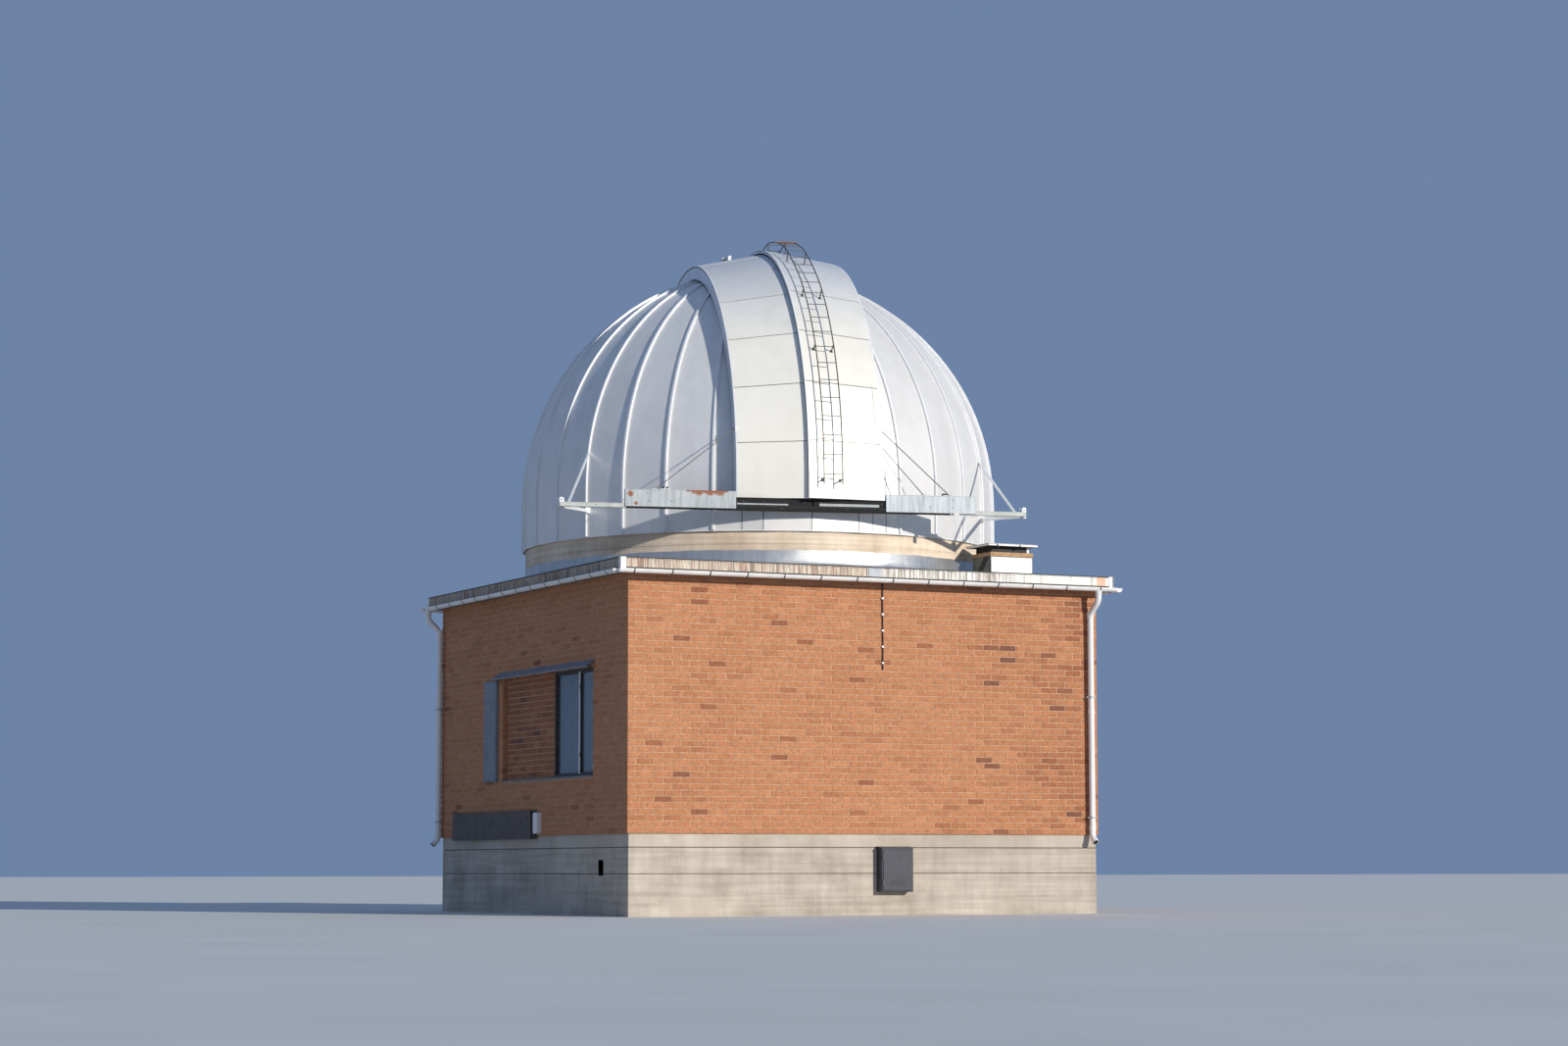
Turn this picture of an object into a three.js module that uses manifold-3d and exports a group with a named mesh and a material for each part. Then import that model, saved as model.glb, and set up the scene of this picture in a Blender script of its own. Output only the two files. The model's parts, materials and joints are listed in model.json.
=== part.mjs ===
// Observatory building: a square brick block on a concrete base, with a turning dome over it.
// The dome has a slit that two shutters close by sliding apart along straight rails.
// Millimetres, +Z up, ground at z = 0. The front faces -Y and the window side faces -X.
import * as THREE from "three";
import { mergeVertices } from "three/addons/utils/BufferGeometryUtils.js";
import Module from "manifold-3d";

const wasm = await Module();
wasm.setup();

// Where the dome's axis stands: the whole object's box is then centred on the origin.
const AXIS_X = 192;
const AXIS_Y = 184;

// Building block
const BLOCK = 7872; // side of the square, over the brick faces
const HALF = BLOCK / 2;
const BASE_H = 1200; // ground to the underside of the brick
const DECK_T = 195; // floor deck, whose edge shows as the top band of the base
const BASE_T = 250;
const BASE_INSET = 30; // the brick stands proud of the base
const VENT = { near: -2975, far: -2775, low: 590, high: 820 }; // slot in the base's left side
const COURSE = 90;
const WALL_H = 42 * COURSE;
const WALL_T = 300;
const WALL_TOP = BASE_H + WALL_H;

// Flat roof with its metal edge and gutters
const EAVE = 201; // overhang of the roof over the brick
const ROOF_T = 160;
const FASCIA_H = 196;
const FASCIA_T = 24;
const ROOF_TOP = WALL_TOP + ROOF_T;
const GUTTER_R = 62;
const GUTTER_WALL = 4;
const GUTTER_SEGMENTS = 8;
const GUTTER_RISE = 20; // the gutter's rim over the top of the wall
const PIPE_R = 48;
const PIPE_SIDES = 10;
const PIPE_STEPS = 24;
const PIPE_OFF = 30; // the pipe's clearance from the wall

// Window on the left side, measured from the dome's axis and from the top of the base
const WINDOW_NEAR = -2620;
const WINDOW_FAR = 1110;
const SILL_H = 860;
const HEAD_H = 2480;
const PIER_NEAR = -950; // brick pier that closes the far part of the opening
const PIER_RECESS = 70;
const PIER_T = 120;
const FRAME_RECESS = 60;
const FRAME_D = 70;
const FRAME_BAR = 55;
const MULLION = -1930;
const GLASS_T = 6;
const CLOTH_T = 60;
const HOOD_OUT = 130;
const PANEL = { near: 1300, far: 1860, out: 45 }; // grey panel beyond the window
const FOOT_PANEL = { near: -200, far: 3280, low: 1150, high: 1590, out: 35 };
const WALL_BOX = { near: -590, far: -400, low: 1230, high: 1550, out: 80 };

// Pieces fixed to the front and standing on the roof, measured from the dome's axis
const CABINET = { left: 110, right: 640, low: 345, high: 1018, out: 180 };
const CABLE = { x: 206, low: 3650, clip: 3740, clipPitch: 243, clips: 5 };
const ROOF_VENT = { x0: 2140, x1: 2880, y0: -3820, y1: -3250, top: 5485 };
const VENT_GAP = 100; // air gap under the roof vent's lid
const VENT_LID_T = 60;

// Concrete drum under the dome
const DRUM_R = 3730;
const DRUM_T = 200;
const DRUM_TOP = 5800;
const FLASHING_H = 110;
const FLASHING_W = 150;
const TRACK_IN = 150; // distances inside the drum's face
const TRACK_OUT = 50;
const TRACK_H = 50;

// Dome
const DOME_TURN = -13; // degrees from the front, as the dome stands
const DOME_R = 3775;
const SHELL_T = 30;
const SKIRT_BOTTOM = 5720;
const CENTRE_Z = 6457; // centre of the sphere
const ROUND = 64; // facets round the dome, two for each bay between ribs
const SHELL_STEPS = 14;
const RIBS = 32; // spaces between ribs all round the dome
const RIB_FREE = 2; // spaces each way from the slit's middle before the first rib
const RIB_W = 40;
const RIB_H = 30;
const RIB_FOOT = 20; // end of the ribs over the bottom of the skirt
const RIB_TOP = 78; // degrees, beyond where the slit has cut every rib off
const SLIT_HALF = 950;
const SLIT_BOTTOM = 6230;
const SLIT_REAR = 2400;
const RING_W = 190;
const RING_H = 95;
const ARCH_IN = 90; // the slit's frame reaches this far inside the shell
const ARCH_OUT = 20;
const ARCH_W = 60;
const RUNNING_GAP = 5;
const SEAT = 0.3; // gap between pieces that touch
const PAST = 10; // how far a cutting solid runs past what it cuts

// Shutters, bent round a level line across the dome through its centre. Each is flat across,
// and rises from its outer edge to the line where the two meet.
const SKIN_T = 20;
const MEETING = -115; // near edge of the right shutter, which laps over the left one
const LEFT_SHUTTER = { edge: -1160, low: 3860, high: 4070 }; // radius at its edge, at the meeting
const RIGHT_SHUTTER = { edge: 1060, low: 3960, high: 4145 };
const SIDE_FOOT_R = 3820; // side walls reach down to this sphere, clear of the ribs
const SHUTTER_BOTTOM = 6185;
const REAR_DEG = 42; // how far the shutters reach past the top
const SHUTTER_WALL = 15;
const SHUTTER_FROM = -5; // degrees, under the level of the foot plates
const SEAM_DEG = 64; // seam between the left shutter's lower and upper sheets
const SEAM_GAP = 0.005; // degrees
const REAR_PLATE = 0.25; // degrees
const LAP = 85;
const LAP_GAP = 15;

// Rails and carriages
const RAIL_IN = 3910; // distances from the dome's axis
const RAIL_OUT = 3990;
const RAIL_DROP = 125; // top of the rail under the end of the shutters
const RAIL_H = 70;
const RAIL_LEFT = -3845;
const RAIL_RIGHT = 3295;
const REAR_RAIL_HALF = 2300;
const STOP_T = 60;
const STOP_H = 70;
const RAIL_BRACKETS = [-800, 0, 800];
const STRUT_W = 45;
const BOX_LEFT = -2875; // outer ends of the carriages' deep boxes
const BOX_RIGHT = 2505;
const BOX_RISE = 85; // how far the boxes stand over the foot of the shutters
const BOX_PROUD = 22; // how far they stand out in front of the rail
const BRACE_W = 30;
const BRACE_IN = 3740; // where the braces reach the shutters' side walls

// Ladder over the right shutter
const LADDER_R = 4240;
const LADDER_NEAR = 90;
const LADDER_FAR = 375;
const LADDER_FROM = -1; // degrees above the dome's centre
const LADDER_TO = 96;
const RUNG_PITCH = 300;
const RUNG_W = 20;
const STRINGER_R = 17;
const CROWN_RISE = 40; // how much higher the ladder stands over the crown
const LADDER_SINK = 125; // how far it comes down towards the skin at its end
const LADDER_FEET = [0, 30, 47, 65, 85]; // degrees
const FOOT_W = 24;

const finish = (color, roughness, metalness) =>
  new THREE.MeshStandardMaterial({ color, roughness, metalness });
const BRICK = finish(0xa5623f, 0.9, 0);
const CONCRETE = finish(0xb7b0a2, 0.9, 0);
const DRUM_CONCRETE = finish(0xc9bda2, 0.9, 0);
const DOME_METAL = finish(0xc3c5c8, 0.4, 0.7);
const GALVANISED = finish(0xb4bac0, 0.5, 0.6);
const FASCIA_METAL = finish(0x9a948c, 0.6, 0.4);
const WHITE_METAL = finish(0xd6dadd, 0.5, 0.2);
const NAVY_METAL = finish(0x1d2233, 0.5, 0.3);
const GREY_PAINT = finish(0x8b8f96, 0.6, 0.1);
const ROOFING = finish(0x77746f, 0.9, 0);
const GLASS = finish(0x506070, 0.1, 0);
const CLOTH = finish(0xc8ccd2, 0.9, 0);
const RUBBER = finish(0x1c1c1e, 0.8, 0);

const deg = THREE.MathUtils.degToRad;

// A closed three.js geometry as a solid, and back
function solid(geometry) {
  const bare = geometry.index ? geometry.toNonIndexed() : geometry.clone();
  for (const name of Object.keys(bare.attributes)) {
    if (name !== "position") bare.deleteAttribute(name);
  }
  const merged = mergeVertices(bare, 1e-3);
  const index = merged.index.array;
  const kept = [];
  for (let i = 0; i < index.length; i += 3) {
    const [a, b, c] = [index[i], index[i + 1], index[i + 2]];
    if (a !== b && b !== c && c !== a) kept.push(a, b, c);
  }
  return new wasm.Manifold(
    new wasm.Mesh({
      numProp: 3,
      vertProperties: merged.attributes.position.array,
      triVerts: new Uint32Array(kept),
    }),
  );
}

function geometryOf(shape) {
  const mesh = shape.getMesh();
  return new THREE.BufferGeometry()
    .setAttribute("position", new THREE.BufferAttribute(mesh.vertProperties, 3))
    .setIndex(new THREE.BufferAttribute(mesh.triVerts, 1));
}

const join = (shapes) => shapes.reduce((sum, shape) => sum.add(shape));

function place(parent, name, shape, material) {
  const geometry = shape.isBufferGeometry ? shape : geometryOf(shape);
  const mesh = new THREE.Mesh(geometry, material);
  mesh.name = name;
  parent.add(mesh);
  return mesh;
}

// A box between two corners
function block([x0, y0, z0], [x1, y1, z1]) {
  return solid(
    new THREE.BoxGeometry(x1 - x0, y1 - y0, z1 - z0).translate(
      (x0 + x1) / 2,
      (y0 + y1) / 2,
      (z0 + z1) / 2,
    ),
  );
}

// An outline of (a, b) points, drawn along X: a becomes y and b becomes z
function alongX(points, x0, x1) {
  const shape = new THREE.Shape(points.map(([a, b]) => new THREE.Vector2(a, b)));
  const geometry = new THREE.ExtrudeGeometry(shape, { depth: x1 - x0, bevelEnabled: false });
  const turn = new THREE.Matrix4().makeBasis(
    new THREE.Vector3(0, 1, 0),
    new THREE.Vector3(0, 0, 1),
    new THREE.Vector3(1, 0, 0),
  );
  return solid(geometry.applyMatrix4(turn).translate(x0, 0, 0));
}

// A square bar from one point to another
function bar(from, to, width) {
  const start = new THREE.Vector3(...from);
  const end = new THREE.Vector3(...to);
  const along = end.clone().sub(start);
  const geometry = new THREE.BoxGeometry(width, width, along.length());
  geometry.applyQuaternion(
    new THREE.Quaternion().setFromUnitVectors(new THREE.Vector3(0, 0, 1), along.clone().normalize()),
  );
  return solid(geometry.translate(...start.add(end).multiplyScalar(0.5).toArray()));
}

// A round bar along a line of points, mitred at each bend
function pipe(points, radius, sides) {
  const path = new THREE.CurvePath();
  const places = points.map((p) => new THREE.Vector3(...p));
  places.slice(1).forEach((p, i) => path.add(new THREE.LineCurve3(places[i], p)));
  return solid(
    new THREE.ExtrudeGeometry(roundSection(radius, sides), {
      steps: PIPE_STEPS,
      extrudePath: path,
      bevelEnabled: false,
    }),
  );
}

// A regular polygon for a round bar's cross-section
function roundSection(radius, sides) {
  return new THREE.Shape(
    Array.from({ length: sides }, (_, i) => {
      const a = (2 * Math.PI * i) / sides;
      return new THREE.Vector2(radius * Math.cos(a), radius * Math.sin(a));
    }),
  );
}

// A ring of (radius, z) outline turned about the Z axis
function ring(outline, segments = ROUND) {
  const closed = [...outline, outline[0]].map(([r, z]) => new THREE.Vector2(r, z));
  const turned = new THREE.LatheGeometry(closed, segments).rotateX(Math.PI / 2);
  const made = solid(turned);
  return made.volume() < 0 ? solid(flipped(turned)) : made;
}

function flipped(geometry) {
  const bare = geometry.toNonIndexed();
  const p = bare.attributes.position;
  for (let i = 0; i < p.count; i += 3) {
    const [x, y, z] = [p.getX(i + 1), p.getY(i + 1), p.getZ(i + 1)];
    p.setXYZ(i + 1, p.getX(i + 2), p.getY(i + 2), p.getZ(i + 2));
    p.setXYZ(i + 2, x, y, z);
  }
  return bare;
}

// Building: base, floor deck and brick walls
function buildBlock(site) {
  const base = HALF - BASE_INSET;
  const baseTop = BASE_H - DECK_T;
  const inner = base - BASE_T;
  place(site, "base_front", block([-base, -base, 0], [base, -inner, baseTop]), CONCRETE);
  place(site, "base_back", block([-base, inner, 0], [base, base, baseTop]), CONCRETE);
  place(site, "base_right", block([inner, -inner, 0], [base, inner, baseTop]), CONCRETE);
  const vent = block([-base - PAST, VENT.near, VENT.low], [-inner + PAST, VENT.far, VENT.high]);
  const left = block([-base, -inner, 0], [-inner, inner, baseTop]).subtract(vent);
  place(site, "base_left", left, CONCRETE);
  place(site, "floor_deck", block([-base, -base, baseTop], [base, base, BASE_H]), CONCRETE);

  const room = HALF - WALL_T;
  const wall = (name, from, to) =>
    place(site, name, block([...from, BASE_H], [...to, WALL_TOP]), BRICK);
  wall("wall_front", [-HALF, -HALF], [HALF, -room]);
  wall("wall_back", [-HALF, room], [HALF, HALF]);
  wall("wall_right", [room, -room], [HALF, room]);
  wall("wall_left_near", [-HALF, -room], [-room, WINDOW_NEAR]);
  wall("wall_left_far", [-HALF, WINDOW_FAR], [-room, room]);
  const sill = block([-HALF, WINDOW_NEAR, BASE_H], [-room, WINDOW_FAR, BASE_H + SILL_H]);
  const head = block([-HALF, WINDOW_NEAR, BASE_H + HEAD_H], [-room, WINDOW_FAR, WALL_TOP]);
  place(site, "wall_under_window", sill, BRICK);
  place(site, "wall_over_window", head, BRICK);
}

// What fills and surrounds the window on the left side
function buildWindow(site) {
  const low = BASE_H + SILL_H;
  const high = BASE_H + HEAD_H;
  const pier = [-HALF + PIER_RECESS, PIER_NEAR, low];
  const pierIn = pier[0] + PIER_T;
  place(site, "window_pier", block(pier, [pierIn, WINDOW_FAR, high]), BRICK);

  const frameOut = -HALF + FRAME_RECESS;
  const frameIn = frameOut + FRAME_D;
  const outer = block([frameOut, WINDOW_NEAR, low], [frameIn, PIER_NEAR, high]);
  const pane = (from, to) =>
    block([frameOut - PAST, from, low + FRAME_BAR], [frameIn + PAST, to, high - FRAME_BAR]);
  const frame = outer
    .subtract(pane(WINDOW_NEAR + FRAME_BAR, MULLION - FRAME_BAR / 2))
    .subtract(pane(MULLION + FRAME_BAR / 2, PIER_NEAR - FRAME_BAR));
  place(site, "window_frame", frame, WHITE_METAL);

  // The glass and the curtain stand behind the frame, a little smaller than it
  const behind = (from, thickness, edge, foot, head) =>
    block(
      [from, WINDOW_NEAR + edge, low + foot],
      [from + thickness, PIER_NEAR - edge, high - head],
    );
  const glassAt = frameIn + SEAT;
  const clothAt = glassAt + 2 * GLASS_T;
  place(site, "window_glass", behind(glassAt, GLASS_T, 20, 20, 20), GLASS);
  place(site, "curtain", behind(clothAt, CLOTH_T, 15, 8, SEAT), CLOTH);

  // A thin board that slopes down from the wall over the opening
  const hood = alongX(
    [
      [-HALF, high + 100],
      [-HALF - HOOD_OUT, high + 5],
      [-HALF - HOOD_OUT, high - 15],
      [-HALF, high + 78],
    ],
    WINDOW_NEAR - 60,
    WINDOW_FAR + 190,
  );
  place(site, "window_hood", quarterTurn(hood), GREY_PAINT);
  const sill = block([-HALF - 30, WINDOW_NEAR, low], [frameOut - SEAT, WINDOW_FAR, low + 18]);
  const pierRoom = block(pier, [0, WINDOW_FAR + PAST, high]);
  place(site, "window_sill", sill.subtract(pierRoom), GREY_PAINT);

  // Flat pieces fixed on the brick
  const onWall = ({ near, far, low, high, out }) =>
    block([-HALF - out, near, low], [-HALF, far, high]);
  place(site, "side_panel", onWall({ ...PANEL, low, high: high - 20 }), GREY_PAINT);
  place(site, "foot_panel", onWall(FOOT_PANEL), GREY_PAINT);
  place(site, "wall_box", onWall(WALL_BOX), WHITE_METAL);
}

// A solid drawn along X with y across, turned so that it runs along Y with x across
function quarterTurn(shape) {
  const geometry = geometryOf(shape);
  const swap = new THREE.Matrix4().makeBasis(
    new THREE.Vector3(0, 1, 0),
    new THREE.Vector3(1, 0, 0),
    new THREE.Vector3(0, 0, 1),
  );
  return solid(flipped(geometry.applyMatrix4(swap)));
}

// Roof slab, its metal edge, the gutters and the two downpipes
function buildRoof(site) {
  const edge = HALF + EAVE;
  const slab = edge - FASCIA_T;
  place(site, "roof_slab", block([-slab, -slab, WALL_TOP], [slab, slab, ROOF_TOP]), ROOFING);
  const band = block([-edge, -edge, WALL_TOP], [edge, edge, WALL_TOP + FASCIA_H]);
  const above = WALL_TOP + FASCIA_H + PAST;
  const hollow = block([-slab, -slab, WALL_TOP - PAST], [slab, slab, above]);
  place(site, "roof_fascia", band.subtract(hollow), FASCIA_METAL);

  // One gutter: a half-round trough with closed ends and a flat back against the fascia
  const trough = (r) =>
    Array.from({ length: GUTTER_SEGMENTS + 1 }, (_, i) => {
      const a = Math.PI + (Math.PI * i) / GUTTER_SEGMENTS;
      return [r * Math.cos(a), r * Math.sin(a)];
    });
  const gutterLength = edge + GUTTER_R;
  const full = alongX(trough(GUTTER_R), -gutterLength, edge);
  const inside = GUTTER_R - GUTTER_WALL;
  const scoop = alongX(
    [...trough(inside), [inside, PAST], [-inside, PAST]],
    GUTTER_WALL - gutterLength,
    edge - GUTTER_WALL,
  );
  const gutter = geometryOf(full.subtract(scoop));
  gutter.translate(0, -edge - GUTTER_R - SEAT, WALL_TOP + GUTTER_RISE);
  ["front", "right", "back", "left"].forEach((side, i) => {
    const mesh = place(site, "gutter_" + side, gutter.clone(), WHITE_METAL);
    mesh.rotation.z = (i * Math.PI) / 2;
  });

  // Downpipes: at the right end of the front and at the far end of the left side
  const outlet = WALL_TOP + GUTTER_RISE - GUTTER_R - SEAT;
  const pipeOut = HALF + PIPE_R + PIPE_OFF;
  const gutterOut = edge + GUTTER_R;
  const down = (outletAt, along) => [
    [outletAt, -gutterOut, outlet],
    [outletAt, -gutterOut, outlet - 60],
    [along, -pipeOut, outlet - 330],
    [along, -pipeOut, BASE_H - 20],
    [along, -pipeOut - 90, BASE_H - 110],
  ];
  const frontPipe = down(HALF - 70, HALF - 150);
  const leftPipe = down(HALF - 30, HALF - 80).map(([a, b, z]) => [b, a, z]);
  place(site, "downpipe_front", pipe(frontPipe, PIPE_R, PIPE_SIDES), WHITE_METAL);
  place(site, "downpipe_left", pipe(leftPipe, PIPE_R, PIPE_SIDES), WHITE_METAL);
}

// What stands on the roof beside the drum, and what is fixed to the front
function buildFittings(site) {
  const { x0, x1, y0, y1, top } = ROOF_VENT;
  place(site, "roof_vent_box", block([x0, y0, ROOF_TOP], [x1, y1, top]), WHITE_METAL);
  const lidUnder = top + VENT_GAP;
  const lid = block([x0 - 80, y0 - 80, lidUnder], [x1 + 50, y1 + 60, lidUnder + VENT_LID_T]);
  const post = 40;
  const posts = [x0 + post, x1 - 2 * post].flatMap((x) =>
    [y0 + post, y1 - 2 * post].map((y) =>
      block([x, y, top], [x + post, y + post, lidUnder + PAST]),
    ),
  );
  place(site, "roof_vent_lid", join([lid, ...posts]), WHITE_METAL);

  const baseFace = -HALF + BASE_INSET;
  const cabinet = block(
    [CABINET.left, baseFace - CABINET.out, CABINET.low],
    [CABINET.right, baseFace, CABINET.high],
  );
  place(site, "base_cabinet", cabinet, NAVY_METAL);

  // A flat cable that stands off the brick on clips
  const strip = (half, from, to, low, high) =>
    block([CABLE.x - half, -HALF - from, low], [CABLE.x + half, -HALF - to, high]);
  const clips = Array.from({ length: CABLE.clips }, (_, i) => {
    const z = CABLE.clip + CABLE.clipPitch * i;
    return strip(20, 30, 0, z, z + 30);
  });
  const cable = join([strip(10, 26, 8, CABLE.low, WALL_TOP), ...clips]);
  place(site, "wall_cable", cable, RUBBER);
}

// The round concrete wall that carries the dome, in four quarters
function buildDrum(site) {
  const wall = ring([
    [DRUM_R - DRUM_T, ROOF_TOP],
    [DRUM_R, ROOF_TOP],
    [DRUM_R, DRUM_TOP],
    [DRUM_R - DRUM_T, DRUM_TOP],
  ]);
  const far = DRUM_R + PAST;
  [
    ["front_right", 1, -1],
    ["back_right", 1, 1],
    ["back_left", -1, 1],
    ["front_left", -1, -1],
  ].forEach(([name, sx, sy]) => {
    const x = [0, sx * far].sort((a, b) => a - b);
    const y = [0, sy * far].sort((a, b) => a - b);
    const quarter = block([x[0], y[0], ROOF_TOP - PAST], [x[1], y[1], DRUM_TOP + PAST]);
    place(site, "drum_" + name, wall.intersect(quarter), DRUM_CONCRETE);
  });
  const foot = DRUM_R + SEAT;
  const flashing = ring([
    [foot, ROOF_TOP],
    [foot + FLASHING_W, ROOF_TOP],
    [foot, ROOF_TOP + FLASHING_H],
  ]);
  place(site, "drum_flashing", flashing, GALVANISED);
  const track = ring([
    [DRUM_R - TRACK_IN, DRUM_TOP],
    [DRUM_R - TRACK_OUT, DRUM_TOP],
    [DRUM_R - TRACK_OUT, DRUM_TOP + TRACK_H],
    [DRUM_R - TRACK_IN, DRUM_TOP + TRACK_H],
  ]);
  place(site, "dome_track", track, GALVANISED);
}

// A curved sheet bent over the dome, between two upright planes across X. Its two radii are
// those of spheres about the dome's centre, or functions of x that give the radius there.
// The angle is 0 at the front, level with the centre, and 90 at the top.
function patch(x0, x1, inner, outer, fromDeg, toDeg, acrossSteps) {
  const steps = Math.max(1, Math.round(Math.abs(toDeg - fromDeg) / 5));
  const points = [];
  for (const r of [inner, outer]) {
    for (let i = 0; i <= steps; i++) {
      const a = deg(fromDeg + ((toDeg - fromDeg) * i) / steps);
      for (let j = 0; j <= acrossSteps; j++) {
        const x = x0 + ((x1 - x0) * j) / acrossSteps;
        const rho = typeof r === "function" ? r(x) : Math.sqrt(r * r - x * x);
        points.push(x, -rho * Math.cos(a), CENTRE_Z + rho * Math.sin(a));
      }
    }
  }
  const row = acrossSteps + 1;
  const layer = (steps + 1) * row;
  const at = (k, i, j) => k * layer + i * row + j;
  const index = [];
  const quad = (a, b, c, d) => index.push(a, b, c, a, c, d);
  for (let i = 0; i < steps; i++) {
    for (let j = 0; j < acrossSteps; j++) {
      quad(at(1, i, j), at(1, i, j + 1), at(1, i + 1, j + 1), at(1, i + 1, j));
      quad(at(0, i, j), at(0, i + 1, j), at(0, i + 1, j + 1), at(0, i, j + 1));
    }
    quad(at(0, i, 0), at(1, i, 0), at(1, i + 1, 0), at(0, i + 1, 0));
    const j = acrossSteps;
    quad(at(0, i, j), at(0, i + 1, j), at(1, i + 1, j), at(1, i, j));
  }
  for (let j = 0; j < acrossSteps; j++) {
    quad(at(0, 0, j), at(0, 0, j + 1), at(1, 0, j + 1), at(1, 0, j));
    quad(at(0, steps, j), at(1, steps, j), at(1, steps, j + 1), at(0, steps, j + 1));
  }
  const geometry = new THREE.BufferGeometry()
    .setAttribute("position", new THREE.Float32BufferAttribute(points, 3))
    .setIndex(index);
  return solid(geometry);
}

// The dome's outline from its foot to its top, at a given radius
function meridian(radius, bottom) {
  const points = [[radius, bottom]];
  for (let i = 0; i <= SHELL_STEPS; i++) {
    const a = (Math.PI / 2) * (i / SHELL_STEPS);
    points.push([i === SHELL_STEPS ? 0 : radius * Math.cos(a), CENTRE_Z + radius * Math.sin(a)]);
  }
  return points;
}

// The dome's ribs, with a little added to their width and height where they cut a neighbour
function ribs(extra) {
  const half = RIB_W / 2 + extra;
  const outer = DOME_R + RIB_H + extra;
  const inner = DOME_R - SHELL_T / 2;
  const foot = SKIRT_BOTTOM + RIB_FOOT - extra;
  const upright = block([-half, -outer, foot], [half, -inner, CENTRE_Z + PAST]);
  const rib = upright.add(patch(-half, half, inner, outer, 0, RIB_TOP, 1));
  const first = RIB_FREE;
  const last = RIBS - RIB_FREE;
  return join(
    Array.from({ length: last - first + 1 }, (_, i) =>
      rib.rotate([0, 0, ((first + i) * 360) / RIBS]),
    ),
  );
}

// The turning dome's own shell: two sides, a rear gore and the low panel under the slit
function buildShell(dome) {
  const outer = meridian(DOME_R, SKIRT_BOTTOM);
  const inner = meridian(DOME_R - SHELL_T, SKIRT_BOTTOM).reverse();
  const shell = ring([...outer, ...inner]);
  const ribbed = shell.add(ribs(0));
  const far = DOME_R + RIB_H + PAST;
  const top = CENTRE_Z + far;
  const low = SKIRT_BOTTOM - PAST;
  const side = SLIT_HALF + SEAT;
  const left = ribbed.intersect(block([-far, -far, low], [-side, far, top]));
  const right = ribbed.intersect(block([side, -far, low], [far, far, top]));
  const rear = ribbed.intersect(block([-SLIT_HALF, SLIT_REAR, low], [SLIT_HALF, far, top]));
  const front = shell.intersect(block([-SLIT_HALF, -far, low], [SLIT_HALF, 0, SLIT_BOTTOM]));
  place(dome, "dome_shell_left", left, DOME_METAL);
  place(dome, "dome_shell_right", right, DOME_METAL);
  place(dome, "dome_shell_rear", rear, DOME_METAL);
  place(dome, "dome_panel_front", front, DOME_METAL);

  const ringOut = DOME_R - SHELL_T - 1;
  const ringLow = DRUM_TOP + TRACK_H + RUNNING_GAP;
  const base = ring([
    [ringOut - RING_W, ringLow],
    [ringOut, ringLow],
    [ringOut, ringLow + RING_H],
    [ringOut - RING_W, ringLow + RING_H],
  ]);
  place(dome, "dome_base_ring", base, GALVANISED);

  const archIn = DOME_R - SHELL_T - ARCH_IN;
  const slitLow = SLIT_BOTTOM + SEAT;
  const slit = block([-SLIT_HALF, -far, slitLow], [SLIT_HALF, SLIT_REAR - SEAT, top]);
  [
    ["left", SEAT - SLIT_HALF, ARCH_W - SLIT_HALF],
    ["right", SLIT_HALF - ARCH_W, SLIT_HALF - SEAT],
  ].forEach(([name, x0, x1]) => {
    const arch = patch(x0, x1, archIn, DOME_R + ARCH_OUT, SHUTTER_FROM, 90 + REAR_DEG, 1);
    place(dome, "slit_arch_" + name, arch.intersect(slit), GALVANISED);
  });
}

// A solid drawn at the front, level with the dome's centre, set at the shutters' rear end
function toRear(shape) {
  const geometry = flipped(geometryOf(shape).translate(0, 0, -CENTRE_Z).scale(1, -1, 1));
  return solid(geometry.rotateX(deg(90 - REAR_DEG)).translate(0, 0, CENTRE_Z));
}

// A straight bar along X. Its outline is given by distance out from the dome's axis and by
// drop below the end of the shutters, which lies at the height `end`.
function railBar(outline, x0, x1, end) {
  const points = outline.map(([out, drop]) => [-out, end - drop]);
  return alongX(points, Math.min(x0, x1), Math.max(x0, x1));
}

const rectangle = (out0, out1, drop0, drop1) => [
  [out0, drop0],
  [out1, drop0],
  [out1, drop1],
  [out0, drop1],
];

const largest = (shape) =>
  shape.decompose().reduce((a, b) => (a.volume() > b.volume() ? a : b));

// A rail with an upright stop at each end
function rail(x0, x1, end) {
  const low = RAIL_DROP + RAIL_H;
  const stop = rectangle(RAIL_IN, RAIL_OUT, RAIL_DROP - STOP_H, low);
  return join([
    railBar(rectangle(RAIL_IN, RAIL_OUT, RAIL_DROP, low), x0, x1, end),
    railBar(stop, x0, x0 + STOP_T, end),
    railBar(stop, x1 - STOP_T, x1, end),
  ]);
}

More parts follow.
